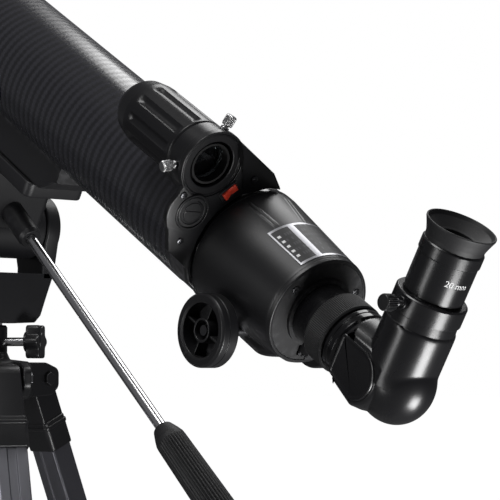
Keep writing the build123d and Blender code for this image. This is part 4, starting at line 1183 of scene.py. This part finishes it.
def build_bracket():
    """The bracket: an arched face plate, a web between tube and finder, the battery bay and
    its lip, a ring round the finder and the switch's frame. Then the battery lid, the rocker
    and the screws."""
    line = [(-5.5, 41.6), (-4.6, 42.8), (3.0, 50.6, 2), (38.4, 69.6, 3)]
    line += arc((FINDER_X, FINDER_Y), 20.0, 122, 318, 60)
    line += arc((LID_X, LID_Y), 17, 34, -44, 20)
    line += [(58, -3, 3), (42, -12.5, 5), (35.4, -23, 1.5)]
    face = arch_strip("bracket_plate", rounded(line, closed=False), 41.1, 70, 74)
    angle = math.degrees(math.atan2(FINDER_Y, FINDER_X))
    web_line = arc((0, 0), 39.7, angle - 17, angle + 17, 20)
    web_line += arc((FINDER_X, FINDER_Y), 19.3, 180 + angle - 36, 180 + angle + 36, 20)
    web = plate("web", TUBE, np.array(web_line), slab_sides(74, 120, 0.8))
    bay = lathe("bay", TUBE.at(LID_X, LID_Y, 0), [(73.5, 0), (73.5, 11.4), (80, 11.4, 1), (80, 0)],
                72, closed=False)
    ring = lathe("ring", FINDER, [(70, 19.4, 0.4), (70, 20.9, 0.4), (74, 20.9, 0.4), (74, 19.4)],
                 96)
    lip = lathe("lip", TUBE.at(LID_X, LID_Y, 0), [
        (69.2, 9.7, 0.2), (69.2, 11, 0.4), (70.4, 11.4, 0.2), (70.4, 9.7)], 72)
    pocket = TUBE.at(SWITCH_X, SWITCH_Y, 0).spun(SWITCH_TURN)
    bezel = hollow_plate("bezel", pocket, rectangle(13.2, 7.4, 1.0), 1.2, 69.3, 70.4)
    bracket = joined("finder_bracket_casting", [face, web, bay, ring, lip, bezel])
    finish(bracket, "optical_tube", satin_plastic(), "black_plastic", "finder_bracket")
    cover = lathe("battery_lid_disc", TUBE.at(LID_X, LID_Y, 0), [
        (72.6, 0), (72.6, 9.4, 0.3), (69.5, 9.4, 0.5), (69.5, 7.6, 0.2), (70.2, 7.2, 0.2),
        (70.2, 6.2, 0.2),
        (69.5, 5.8, 0.2), (69.5, 0)], 96, closed=False)
    grip = box("grip", TUBE.at(LID_X, LID_Y, 69.6, "rear"), 11, 1.6, 0, 0.55, 0.5, 0.25)
    finish(joined("battery_lid_disc", [cover, grip]), "battery_lid", black_plastic(),
           "black_plastic",
           "battery_cover")
    side = TUBE.at(SWITCH_X, SWITCH_Y, 72.4).spun(SWITCH_TURN).at(way="down")
    rocker = rounded([(-4.8, 2.4, 0.6), (-4.8, -4.9, 0.5), (0, -3.3, 1.2), (4.8, -4.1, 0.5),
                      (4.8, 2.4, 0.6)])
    switch = plate("switch_rocker", side, rocker, slab_sides(-2.3, 2.3, 0.4))
    finish(switch, "switch", red_plastic(), "red_plastic", "power_switch")
    screws = [
        pan_screw("screw", TUBE.at(x, y, 69.95, "rear"), 2.1, 1.1)
        for x, y in ((16.4, 45.9), (61.9, 32.7), (52.8, 4.2))
    ]
    screws += [
        pan_screw("screw", TUBE.at(x, SADDLE_Y, SADDLE_Z + z, "down"), 3.0, 2.2)
        for x in (-15, 15) for z in (-48, 48)
    ]
    finish(joined("pan_head_screws", screws), "optical_tube", dark_steel(), "plain_steel",
           "small_screws")


# ---------------------------------------------------------------- mount

def build_saddle():
    """The cradle is a loft: at each step along the tube, an arc under it is joined to a foot
    whose depth eases in and out at the ends. The tilt block under it is four plain shapes."""
    t = np.radians(np.linspace(147, 213, 28))
    cradle = np.column_stack([38.6 * np.sin(t), 38.6 * np.cos(t)])
    z = np.concatenate([np.linspace(238, 262, 10), np.linspace(264, 376, 6),
                        np.linspace(378, 402, 10)])
    depth = 43.5 + 12.5 * ease((z - 238) / 20) * ease((402 - z) / 20)
    rows = []
    for along, deep in zip(z, depth):
        foot = rounded([(-21, -36), (-21, -deep, 2.2), (21, -deep, 2.2), (21, -36)], closed=False)
        ring = np.vstack([cradle, foot])
        rows.append(np.column_stack([ring, np.full(len(ring), along)]))
    saddle = loft("tube_cradle", TUBE, np.stack(rows))
    finish(saddle, "optical_tube", grey_cast(), "black_plastic", "tube_saddle")
    plank = box("plank", TUBE.at(0, SADDLE_Y, SADDLE_Z, "up"), 46, 118, 0, 10.3, 5, 1.2)
    cheek = box("neck", TILT.at(0, 0, 0, "up"), 54, 40, 0, 51.5, 4, 1.0)
    barrel = bar("barrel", TILT.at(way="left"), 22, -32.5, 32.5, 1.2, 96)
    socket = lathe("socket", HANDLE, [
        (-46, 0), (-46, 8), (-3, 8, 0.8), (0, 6.8, 0.6), (0, 3.8, 0.3), (-1.2, 3.8), (-1.2, 0)], 64,
        closed=False)
    block = joined("tilt_casting", [plank, cheek, barrel, socket])
    finish(block, "optical_tube", grey_cast(), "black_plastic", "tilt_block")


def build_head():
    """Two round-topped cheeks with a raised ring each, on a block whose width grows with
    height, and the washers and nuts of the tilt axle."""
    parts = []
    for sign in (-1, 1):
        side = Base(PIVOT.origin, (0, -sign, 0), (0, 0, 1), (sign, 0, 0))
        outline = arc((0, 0), 23, -30, 210, 60) + [(-16, -28), (-16, -36), (16, -36), (16, -28)]
        parts.append(plate("cheek", side, np.array(outline),
                           slab_sides(YOKE_INSIDE, YOKE_OUTSIDE, 1.4, 5)))
        parts.append(lathe("dish", side, [
            (43.6, 17.5), (43.6, 20.5, 0.4), (44.9, 20, 0.4), (44.9, 18, 0.4)], 96))
    heights = [-67, -66.2, -62, -46, -34, -33]
    halves = [28, 29, 33, 38.8, 43.4, 43.4]
    stack = []
    for height, half in zip(heights, halves):
        outline = rectangle(2 * half, 32, 3.0)
        stack.append(np.column_stack([outline, np.full(len(outline), height)]))
    parts.append(loft("block", PIVOT, np.stack(stack)))
    head = joined("yoke_casting", parts)
    finish(head, "head", grey_cast(), "black_plastic", "mount_head")
    bolts = []
    for sign in (-1, 1):
        side = Base(PIVOT.origin, (0, -sign, 0), (0, 0, 1), (sign, 0, 0))
        bolts.append(bar("washer", side, 10, 44.2, 45.8, 0.3, 64))
        bolts.append(plate("nut", side, hexagon(7.6), slab_sides(45.8, 49.2, 0.6)))
        bolts.append(bar("end", side, 4.0, 40, 49.6, 0.5, 48))
    finish(joined("altitude_bolts", bolts), "head", dark_steel(), "plain_steel", "altitude_axle")


def hexagon(flat):
    """A hexagon's outline by its half width across flats, with a slight round at each corner."""
    far = flat / math.cos(math.pi / 6)
    return rounded([(far * math.cos(k * math.pi / 3), far * math.sin(k * math.pi / 3),
                     0.6) for k in range(6)])


def build_handle():
    """A round rod, and a grip: a lathe cut by straight ribs between its two round ends."""
    sizes = bpy.context.scene.telescope_sizes
    rod = bar("pan_handle_rod", HANDLE, sizes.rod_radius, -27, 228, 0.4, 64)
    finish(rod, "pan_handle", chrome(), "bright_chrome", "pan_rod")
    profile = [(190, 0), (190, 6.2, 1.2), (196, 8.4, 2),
               (200, 9.6, 1)] + dense([(203, 9.8), (265, 10.8)], 1.5)
    profile += [(272, 10.9, 3), (281, 9.6, 3), (286, 6, 2.5), (286, 0)]
    grip = lathe("pan_handle_grip", HANDLE, profile, 320, ribs_between(32, 0.9, 204, 264, 9),
                 closed=False)
    finish(grip, "pan_handle", rubber(), "black_rubber", "pan_grip")


def build_lock():
    """The knob's outline is a circle whose radius swings six times round it: a plate with
    round edges and a cap, on a collar and a bolt."""
    lobes = np.linspace(0, FULL_TURN, 180, endpoint=False)
    reach = 11.1 + 1.7 * np.cos(6 * lobes)
    outline = np.column_stack([reach * np.cos(lobes), reach * np.sin(lobes)])
    grip = plate("grip", LOCK, outline, slab_sides(28, 38, 1.4, 5))
    collar = bar("collar", LOCK, 7, 26, 30, 0.6, 64)
    cap = lathe("cap", LOCK, [(37.6, 0), (37.6, 6.4), (38.6, 6, 0.6), (38.6, 0)], 48, closed=False)
    knob = joined("azimuth_lock_grip", [grip, collar, cap])
    finish(knob, "azimuth_lock", black_plastic(), "black_plastic")
    bolt = bar("azimuth_lock_bolt", LOCK, 3, 9.3, 28, 0.3, 40)
    finish(bolt, "azimuth_lock", chrome(), "bright_chrome", "lock_knob")


def build_crown():
    """A lathed hub with three pairs of ears, each ear with a rib on its inner side, and a
    hinge pin with a nut at each end through every pair."""
    parts = [
        lathe("hub", PIVOT, [
            (-120, 9.3), (-120, 28, 1), (-117, 30, 1.5), (-98, 30, 2), (-94, 27, 1.5),
            (-92.5, 14.5, 1.5),
            (-88, 12.5, 2), (-70.5, 12.5, 0.8), (-69, 11.4, 0.5), (-69, 9.3)], 128),
    ]
    for angle in ARM_TURNS:
        arm = PIVOT.spun(angle)
        for side in (-1, 1):
            ear = Base(arm.points((0, side * 15.1, 0)), arm.axes[:, 0], (0, 0, 1),
                       np.cross(arm.axes[:, 0], UP))
            outline = rounded([(12, -94.5, 2), (38, -94.5, 8), (50.5, -99, 5), (50.5, -112, 6),
                               (43, -117.5, 5),
                               (12, -119.5, 1)])
            parts.append(plate("ear", ear, outline, slab_sides(-2.7, 2.7, 0.9)))
            rib = box("rib", arm.at(22, side * 9, -118), 22, 9, 0, 22, 2, 0.8)
            parts.append(rib)
    crown = joined("tripod_hub", parts)
    finish(crown, "tripod", black_plastic(), "black_plastic", "tripod_crown")
    pins = []
    for angle in ARM_TURNS:
        arm = PIVOT.spun(angle)
        pin = Base(arm.points((HINGE_OUT, 0, HINGE_UP)), UP, -arm.axes[:, 0], arm.axes[:, 1])
        pins.append(bar("pin", pin, 3, -18.2, 18.2, 0.4, 32))
        for side in (-1, 1):
            face = Base(pin.origin, pin.axes[:, 0], pin.axes[:, 1] * side, pin.axes[:, 2] * side)
            pins.append(plate("nut", face, hexagon(4.2), slab_sides(17.6, 20.6, 0.5)))
    finish(joined("hinge_bolts", pins), "tripod", dark_steel(), "plain_steel")


# ---------------------------------------------------------------- legs

def leg_outline(width, depth, groove):
    """A drawn profile: a rectangle with round corners and a shallow groove down each broad face."""
    w, d = width / 2, depth / 2
    half = []
    for sign in (1, -1):
        half += [(w * sign, -d * sign, 1.4), (w * sign, d * sign, 1.4), (3.4 * sign, d * sign, 0.3),
                 (2.6 * sign, (d - groove) * sign, 0.3), (-2.6 * sign, (d - groove) * sign, 0.3),
                 (-3.4 * sign, d * sign, 0.3)]
    return rounded(half)


def build_legs():
    """Each leg: a drawn outer profile with its clamp and lock, an inner profile that slides
    in it, and a foot whose lathe ends in a quarter circle, pressed flat on the floor."""
    for number in (1, 2, 3):
        hinge = JOINTS[f"leg_{number}_fold"]
        down = joint_axis(f"leg_{number}_extend")
        across = joint_axis(f"leg_{number}_fold")
        leg = Base(hinge["pos_m"], across, np.cross(down, across), down)
        body, slide = f"leg_{number}", f"leg_foot_slide_{number}"
        head_outline = rounded([(-9, -8, 6), (-9, 10, 9), (42, 10, 1.5), (42, -10, 1.5),
                                (-6, -10, 6)])
        side = Base(leg.origin, leg.axes[:, 2], leg.axes[:, 1], -leg.axes[:, 0])
        head = [
            plate("fork", side, head_outline, slab_sides(-11, 11, 1.2)),
            box("clamp", leg, 25, 21, 30, 52, 3, 1.2),
            box("clamp_rib", leg, 26.2, 22.2, 33, 36, 3, 0.8),
        ]
        finish(joined(f"leg_clamp_{number}", head), body, black_plastic(), "black_plastic",
               f"leg_head_{number}")
        sleeve = plate(f"leg_tube_{number}", leg, leg_outline(22, 18, 0.8),
                       [(1.6, 34.2), (0.2, 34.2), (0, 34.5), (0, 553), (0.2, 553.4), (1.6, 553.4)])
        finish(sleeve, body, dark_aluminium(), "leg_aluminium")
        lock = [
            box("collar", leg, 26, 22, 532.9, 557.4, 3, 1.2),
            bar("boss", leg.at(0, 11, 545, "up"), 5, -1, 2, 0.6, 48),
            plate("wing", leg.at(0, 11, 545, "up"), rectangle(3.2, 15, 1.5),
                  slab_sides(1.5, 9, 0.8)),
        ]
        finish(joined(f"leg_lock_{number}", lock), body, black_plastic(), "black_plastic",
               f"leg_sleeve_{number}")
        inner = plate(f"leg_inner_{number}", leg, leg_outline(18.1, 14.1, 0.6),
                      [(0.3, 60), (0, 60.3), (0, 580), (0.3, 580)])
        finish(inner, slide, dark_aluminium(), "leg_aluminium", f"leg_slide_{number}")
        foot = lathe(f"leg_shoe_{number}", leg, [
            (565, 0), (565, 12.2, 1), (567, 13, 0.8), (576, 12.6, 0.5), (576.6, 12, 0.3),
            (578, 12, 0.3),
            (578.6, 12.4, 0.3), (585, 12, 1)] + [
                (LEG_LENGTH + FOOT_R * math.sin(a), FOOT_R * math.cos(a))
                for a in np.linspace(0.1, math.pi / 2, 12)],
            96, closed=False)
        settle(foot)
        finish(foot, slide, rubber(), "black_rubber", f"leg_foot_{number}")


def settle(piece):
    """Presses what is below the floor flat onto it."""
    mesh = piece.data
    co = np.zeros(len(mesh.vertices) * 3)
    mesh.vertices.foreach_get("co", co)
    co[2::3] = np.maximum(co[2::3], 0.0)
    mesh.vertices.foreach_set("co", co)
    mesh.update()


# ---------------------------------------------------------------- parts kept as they are

def dress_kept_parts():
    """Gives each CAD part that keeps its own mesh its finish, and the rest plain black."""
    finishes = {
        "objective_cell": dull_black_with_painted_shade, "lens_ring": dull_black_with_painted_shade, "tube_baffles": dull_black_with_painted_shade,
        # The pinion shaft takes dark steel in place of plating as painted shade for the dark hole
        # in the focus wheel's hub.
        # The rear cover's dull black is darker than the common black as painted shade for the
        # recessed rear.
        "rear_cover": dull_black_with_painted_shade, "focus_rack": dark_steel, "pinion_shaft": dark_steel,
        "diagonal_mirror": chrome, "eyepiece_barrel": chrome, "finder_plunger": screw_metal,
        # The finder tube's extra dark black is painted shade in the finder's bore.
        "finder_tube": matt_black_with_painted_shade, "battery_cell": screw_metal, "azimuth_post": chrome,
        "objective_crown": lens_glass, "objective_flint": lens_glass,
        "eyepiece_lenses": lens_glass, "finder_lenses": lens_glass,
    }
    for node, maker in finishes.items():
        mesh = frame["nodes"][node].data
        mesh.materials.clear()
        mesh.materials.append(maker())
    for name, node in frame["nodes"].items():
        if name not in finishes:
            node.data.materials.clear()
            node.data.materials.append(black_plastic())


# ---------------------------------------------------------------- stage

def build_stage():
    """The camera, a white world that lights only a little, the floor and four area lamps."""
    scene = bpy.context.scene
    camera = bpy.data.objects.new("camera", bpy.data.cameras.new("camera"))
    scene.collection.objects.link(camera)
    camera.data.sensor_width = 36.0
    camera.data.lens = scene.telescope_stage.lens
    back = TUBE.axes @ np.array([0.648, 0.342, -0.681])
    up = TUBE.axes @ np.array([0.042, 0.877, 0.479])
    back /= np.linalg.norm(back)
    right = np.cross(up, back)
    right /= np.linalg.norm(right)
    place = Matrix(np.column_stack([right, np.cross(back, right), back]).tolist()).to_4x4()
    place.translation = Vector(TUBE.points((714.8, 378.6, -681.7)))
    camera.matrix_world = place
    scene.camera = camera
    scene.view_settings.view_transform = "Standard"

    world = bpy.data.worlds.new("studio")
    scene.world = world
    world.use_nodes = True
    tree = world.node_tree
    tree.nodes.clear()
    path = tree.nodes.new("ShaderNodeLightPath")
    seen = tree.nodes.new("ShaderNodeBackground")
    felt = tree.nodes.new("ShaderNodeBackground")
    seen.inputs["Color"].default_value = (1, 1, 1, 1)
    felt.inputs["Color"].default_value = (0.095, 0.095, 0.10, 1)
    mix = tree.nodes.new("ShaderNodeMixShader")
    out = tree.nodes.new("ShaderNodeOutputWorld")
    tree.links.new(path.outputs["Is Camera Ray"], mix.inputs[0])
    tree.links.new(felt.outputs[0], mix.inputs[1])
    tree.links.new(seen.outputs[0], mix.inputs[2])
    tree.links.new(mix.outputs[0], out.inputs[0])

    paper, tree, principled = blank("studio_floor", Roughness=0.9)
    principled.inputs["Base Color"].default_value = (0.3, 0.3, 0.3, 1)
    path = tree.nodes.new("ShaderNodeLightPath")
    glow = tree.nodes.new("ShaderNodeEmission")
    glow.inputs["Strength"].default_value = 0.99
    both = tree.nodes.new("ShaderNodeAddShader")
    pick = tree.nodes.new("ShaderNodeMixShader")
    tree.links.new(principled.outputs[0], both.inputs[0])
    tree.links.new(glow.outputs[0], both.inputs[1])
    tree.links.new(path.outputs["Is Camera Ray"], pick.inputs[0])
    tree.links.new(principled.outputs[0], pick.inputs[1])
    tree.links.new(both.outputs[0], pick.inputs[2])
    tree.links.new(pick.outputs[0], tree.nodes["Material Output"].inputs["Surface"])
    mesh = bpy.data.meshes.new("studio_floor")
    s = 30.0
    mesh.from_pydata([(-s, -s, -0.001), (s, -s, -0.001), (s, s, -0.001), (-s, s, -0.001)], [],
                     [(0, 1, 2, 3)])
    floor = bpy.data.objects.new("studio_floor", mesh)
    scene.collection.objects.link(floor)
    mesh.materials.append(paper)

    centre = Vector(TUBE.origin)

    def lamp(name, place, size, power, tall=None):
        """An area lamp that faces the origin of the tube's frame, unseen by the camera."""
        data = bpy.data.lights.new(name, "AREA")
        data.shape = "RECTANGLE"
        data.size, data.size_y = size, tall or size
        data.energy = power
        made = bpy.data.objects.new(name, data)
        scene.collection.objects.link(made)
        made.location = place
        made.visible_camera = False
        made.rotation_euler = (centre - Vector(place)).to_track_quat("-Z", "Y").to_euler()

    r, u, b = Vector(right), Vector(np.cross(back, right)), Vector(back)
    power = scene.telescope_stage.light_power
    lamp("top_light", centre + u * 1.35 - b * 0.95 + r * 0.3, 0.8, power * 0.35)
    lamp("key_light", centre + u * 1.5 - r * 0.4 + b * 0.6, 0.7, power * 0.5)
    lamp("low_light", centre + r * 0.23 - u * 0.376 + b * 0.237, 0.2, power * 0.12)
    lamp("left_strip", centre - r * 1.4 - u * 0.35 + b * 0.8, 0.22, power * 0.4, 1.7)


# ---------------------------------------------------------------- add-on

def colour(label, text, value):
    """A colour property."""
    return bpy.props.FloatVectorProperty(
        name=label, description=text, default=value, size=3, min=0.0, max=1.0, subtype="COLOR")


class TelescopeColours(bpy.types.PropertyGroup):
    """The colours of the telescope's finishes."""

    plastic: colour("Plastic", "Black of the mouldings and paint", (0.006, 0.006, 0.007))
    wrap_dark: colour("Wrap Dark", "Dark tows of the woven wrap", (0.006, 0.006, 0.008))
    # Painted sheen: this lighter colour for the tows that lie over stands in for the light they
    # reflect.
    wrap_painted_sheen: colour("Wrap Light", "Light tows of the woven wrap", (0.028, 0.028, 0.034))
    switch: colour("Switch", "Colour of the rocker switch", (0.62, 0.045, 0.02))


class TelescopeSizes(bpy.types.PropertyGroup):
    """The sizes of the telescope's surface detail."""

    band_pitch: bpy.props.FloatProperty(
        name="Band Pitch", description="Distance between bands of the woven wrap",
        default=0.0065, min=0.002, unit="LENGTH")
    bead_pitch: bpy.props.FloatProperty(
        name="Bead Pitch", description="Distance between beads along a band of the wrap",
        default=0.0031, min=0.001, unit="LENGTH")
    rod_radius: bpy.props.FloatProperty(
        name="Rod Radius", description="Radius of the pan handle's rod, in millimetres",
        default=3.6, min=1.0)
    flute_depth: bpy.props.FloatProperty(
        name="Flute Depth", description="Depth of the finder's flutes, in millimetres", default=1.5,
        min=0.0)
    mark_height: bpy.props.FloatProperty(
        name="Mark Height", description="Height of the focal mark, in millimetres", default=4.8,
        min=1.0)


class TelescopeStage(bpy.types.PropertyGroup):
    """The camera and the lights."""

    lens: bpy.props.FloatProperty(
        name="Lens", description="Focal length of the camera, in millimetres",
        default=136.8, min=20.0, subtype="DISTANCE_CAMERA")
    light_power: bpy.props.FloatProperty(
        name="Light Power", description="Power that the four lights share out",
        default=26.0, min=0.0, subtype="POWER")


class TELESCOPE_OT_carried_parts(bpy.types.Operator):
    """Give the parts kept from the CAD model their finishes"""

    bl_idname = "telescope.carried_parts"
    bl_label = "Carried Parts"

    def execute(self, context):
        dress_kept_parts()
        return {"FINISHED"}


class TELESCOPE_OT_tube(bpy.types.Operator):
    """Build the tube, its woven wrap, the dew shield and the end band"""

    bl_idname = "telescope.tube"
    bl_label = "Tube"

    def execute(self, context):
        build_tube()
        return {"FINISHED"}


class TELESCOPE_OT_housing(bpy.types.Operator):
    """Build the focuser housing, its screws and its printed label"""

    bl_idname = "telescope.housing"
    bl_label = "Focuser Housing"

    def execute(self, context):
        build_housing()
        return {"FINISHED"}


class TELESCOPE_OT_drawtube(bpy.types.Operator):
    """Build the drawtube and its knurled ring"""

    bl_idname = "telescope.drawtube"
    bl_label = "Drawtube"

    def execute(self, context):
        build_drawtube()
        return {"FINISHED"}


class TELESCOPE_OT_focus_wheels(bpy.types.Operator):
    """Build the two spoked focus wheels"""

    bl_idname = "telescope.focus_wheels"
    bl_label = "Focus Wheels"

    def execute(self, context):
        build_knobs()
        return {"FINISHED"}


class TELESCOPE_OT_diagonal(bpy.types.Operator):
    """Build the star diagonal, its nose, lid and thumb screw"""

    bl_idname = "telescope.diagonal"
    bl_label = "Diagonal"

    def execute(self, context):
        build_diagonal()
        return {"FINISHED"}


class TELESCOPE_OT_eyepiece(bpy.types.Operator):
    """Build the eyepiece, its rubber cup and its focal mark"""

    bl_idname = "telescope.eyepiece"
    bl_label = "Eyepiece"

    def execute(self, context):
        build_eyepiece()
        return {"FINISHED"}


class TELESCOPE_OT_finder(bpy.types.Operator):
    """Build the fluted finder, its collar and thumb screws"""

    bl_idname = "telescope.finder"
    bl_label = "Finder"

    def execute(self, context):
        build_finder()
        return {"FINISHED"}


class TELESCOPE_OT_finder_bracket(bpy.types.Operator):
    """Build the finder bracket, battery lid, switch and screws"""

    bl_idname = "telescope.finder_bracket"
    bl_label = "Finder Bracket"

    def execute(self, context):
        build_bracket()
        return {"FINISHED"}


class TELESCOPE_OT_saddle(bpy.types.Operator):
    """Build the tube cradle and the tilt casting under it"""

    bl_idname = "telescope.saddle"
    bl_label = "Saddle"

    def execute(self, context):
        build_saddle()
        return {"FINISHED"}


class TELESCOPE_OT_yoke(bpy.types.Operator):
    """Build the yoke casting and its bolts"""

    bl_idname = "telescope.yoke"
    bl_label = "Yoke"

    def execute(self, context):
        build_head()
        return {"FINISHED"}


class TELESCOPE_OT_pan_handle(bpy.types.Operator):
    """Build the pan handle and its ribbed grip"""

    bl_idname = "telescope.pan_handle"
    bl_label = "Pan Handle"

    def execute(self, context):
        build_handle()
        return {"FINISHED"}


class TELESCOPE_OT_azimuth_lock(bpy.types.Operator):
    """Build the lobed lock knob and its bolt"""

    bl_idname = "telescope.azimuth_lock"
    bl_label = "Azimuth Lock"

    def execute(self, context):
        build_lock()
        return {"FINISHED"}


class TELESCOPE_OT_tripod_hub(bpy.types.Operator):
    """Build the tripod hub and its hinge bolts"""

    bl_idname = "telescope.tripod_hub"
    bl_label = "Tripod Hub"

    def execute(self, context):
        build_crown()
        return {"FINISHED"}


class TELESCOPE_OT_legs(bpy.types.Operator):
    """Build the three legs, their clamps, slides and shoes"""

    bl_idname = "telescope.legs"
    bl_label = "Legs"

    def execute(self, context):
        build_legs()
        return {"FINISHED"}


class TELESCOPE_OT_stage(bpy.types.Operator):
    """Set the camera, the floor and the soft lights"""

    bl_idname = "telescope.stage"
    bl_label = "Stage"

    def execute(self, context):
        build_stage()
        return {"FINISHED"}


PIECES = (
    TELESCOPE_OT_carried_parts,
    TELESCOPE_OT_tube,
    TELESCOPE_OT_housing,
    TELESCOPE_OT_drawtube,
    TELESCOPE_OT_focus_wheels,
    TELESCOPE_OT_diagonal,
    TELESCOPE_OT_eyepiece,
    TELESCOPE_OT_finder,
    TELESCOPE_OT_finder_bracket,
    TELESCOPE_OT_saddle,
    TELESCOPE_OT_yoke,
    TELESCOPE_OT_pan_handle,
    TELESCOPE_OT_azimuth_lock,
    TELESCOPE_OT_tripod_hub,
    TELESCOPE_OT_legs,
    TELESCOPE_OT_stage,
)


class TELESCOPE_PT_sidebar(bpy.types.Panel):
    """The telescope's pieces, sizes and colours"""

    bl_idname = "TELESCOPE_PT_sidebar"
    bl_label = "Refractor Telescope"
    bl_space_type = "VIEW_3D"
    bl_region_type = "UI"
    bl_category = "Telescope"

    def draw(self, context):
        layout = self.layout
        for group in (context.scene.telescope_colours, context.scene.telescope_sizes,
                      context.scene.telescope_stage):
            box = layout.box()
            for key in group.bl_rna.properties.keys():
                if key not in {"rna_type", "name"}:
                    box.prop(group, key)
        for piece in PIECES:
            layout.operator(piece.bl_idname)


CLASSES = (TelescopeColours, TelescopeSizes, TelescopeStage) + PIECES + (TELESCOPE_PT_sidebar,)


def register():
    """Adds the classes and hangs the settings on the scene."""
    for kind in CLASSES:
        bpy.utils.register_class(kind)
    bpy.types.Scene.telescope_colours = bpy.props.PointerProperty(type=TelescopeColours)
    bpy.types.Scene.telescope_sizes = bpy.props.PointerProperty(type=TelescopeSizes)
    bpy.types.Scene.telescope_stage = bpy.props.PointerProperty(type=TelescopeStage)


def unregister():
    """Takes the settings and classes away again."""
    del bpy.types.Scene.telescope_stage
    del bpy.types.Scene.telescope_sizes
    del bpy.types.Scene.telescope_colours
    for kind in reversed(CLASSES):
        bpy.utils.unregister_class(kind)


def main():
    """Makes every piece in order."""
    register()
    for piece in PIECES:
        getattr(bpy.ops.telescope, piece.bl_idname.split(".")[1])()


if __name__ == "__main__":
    main()
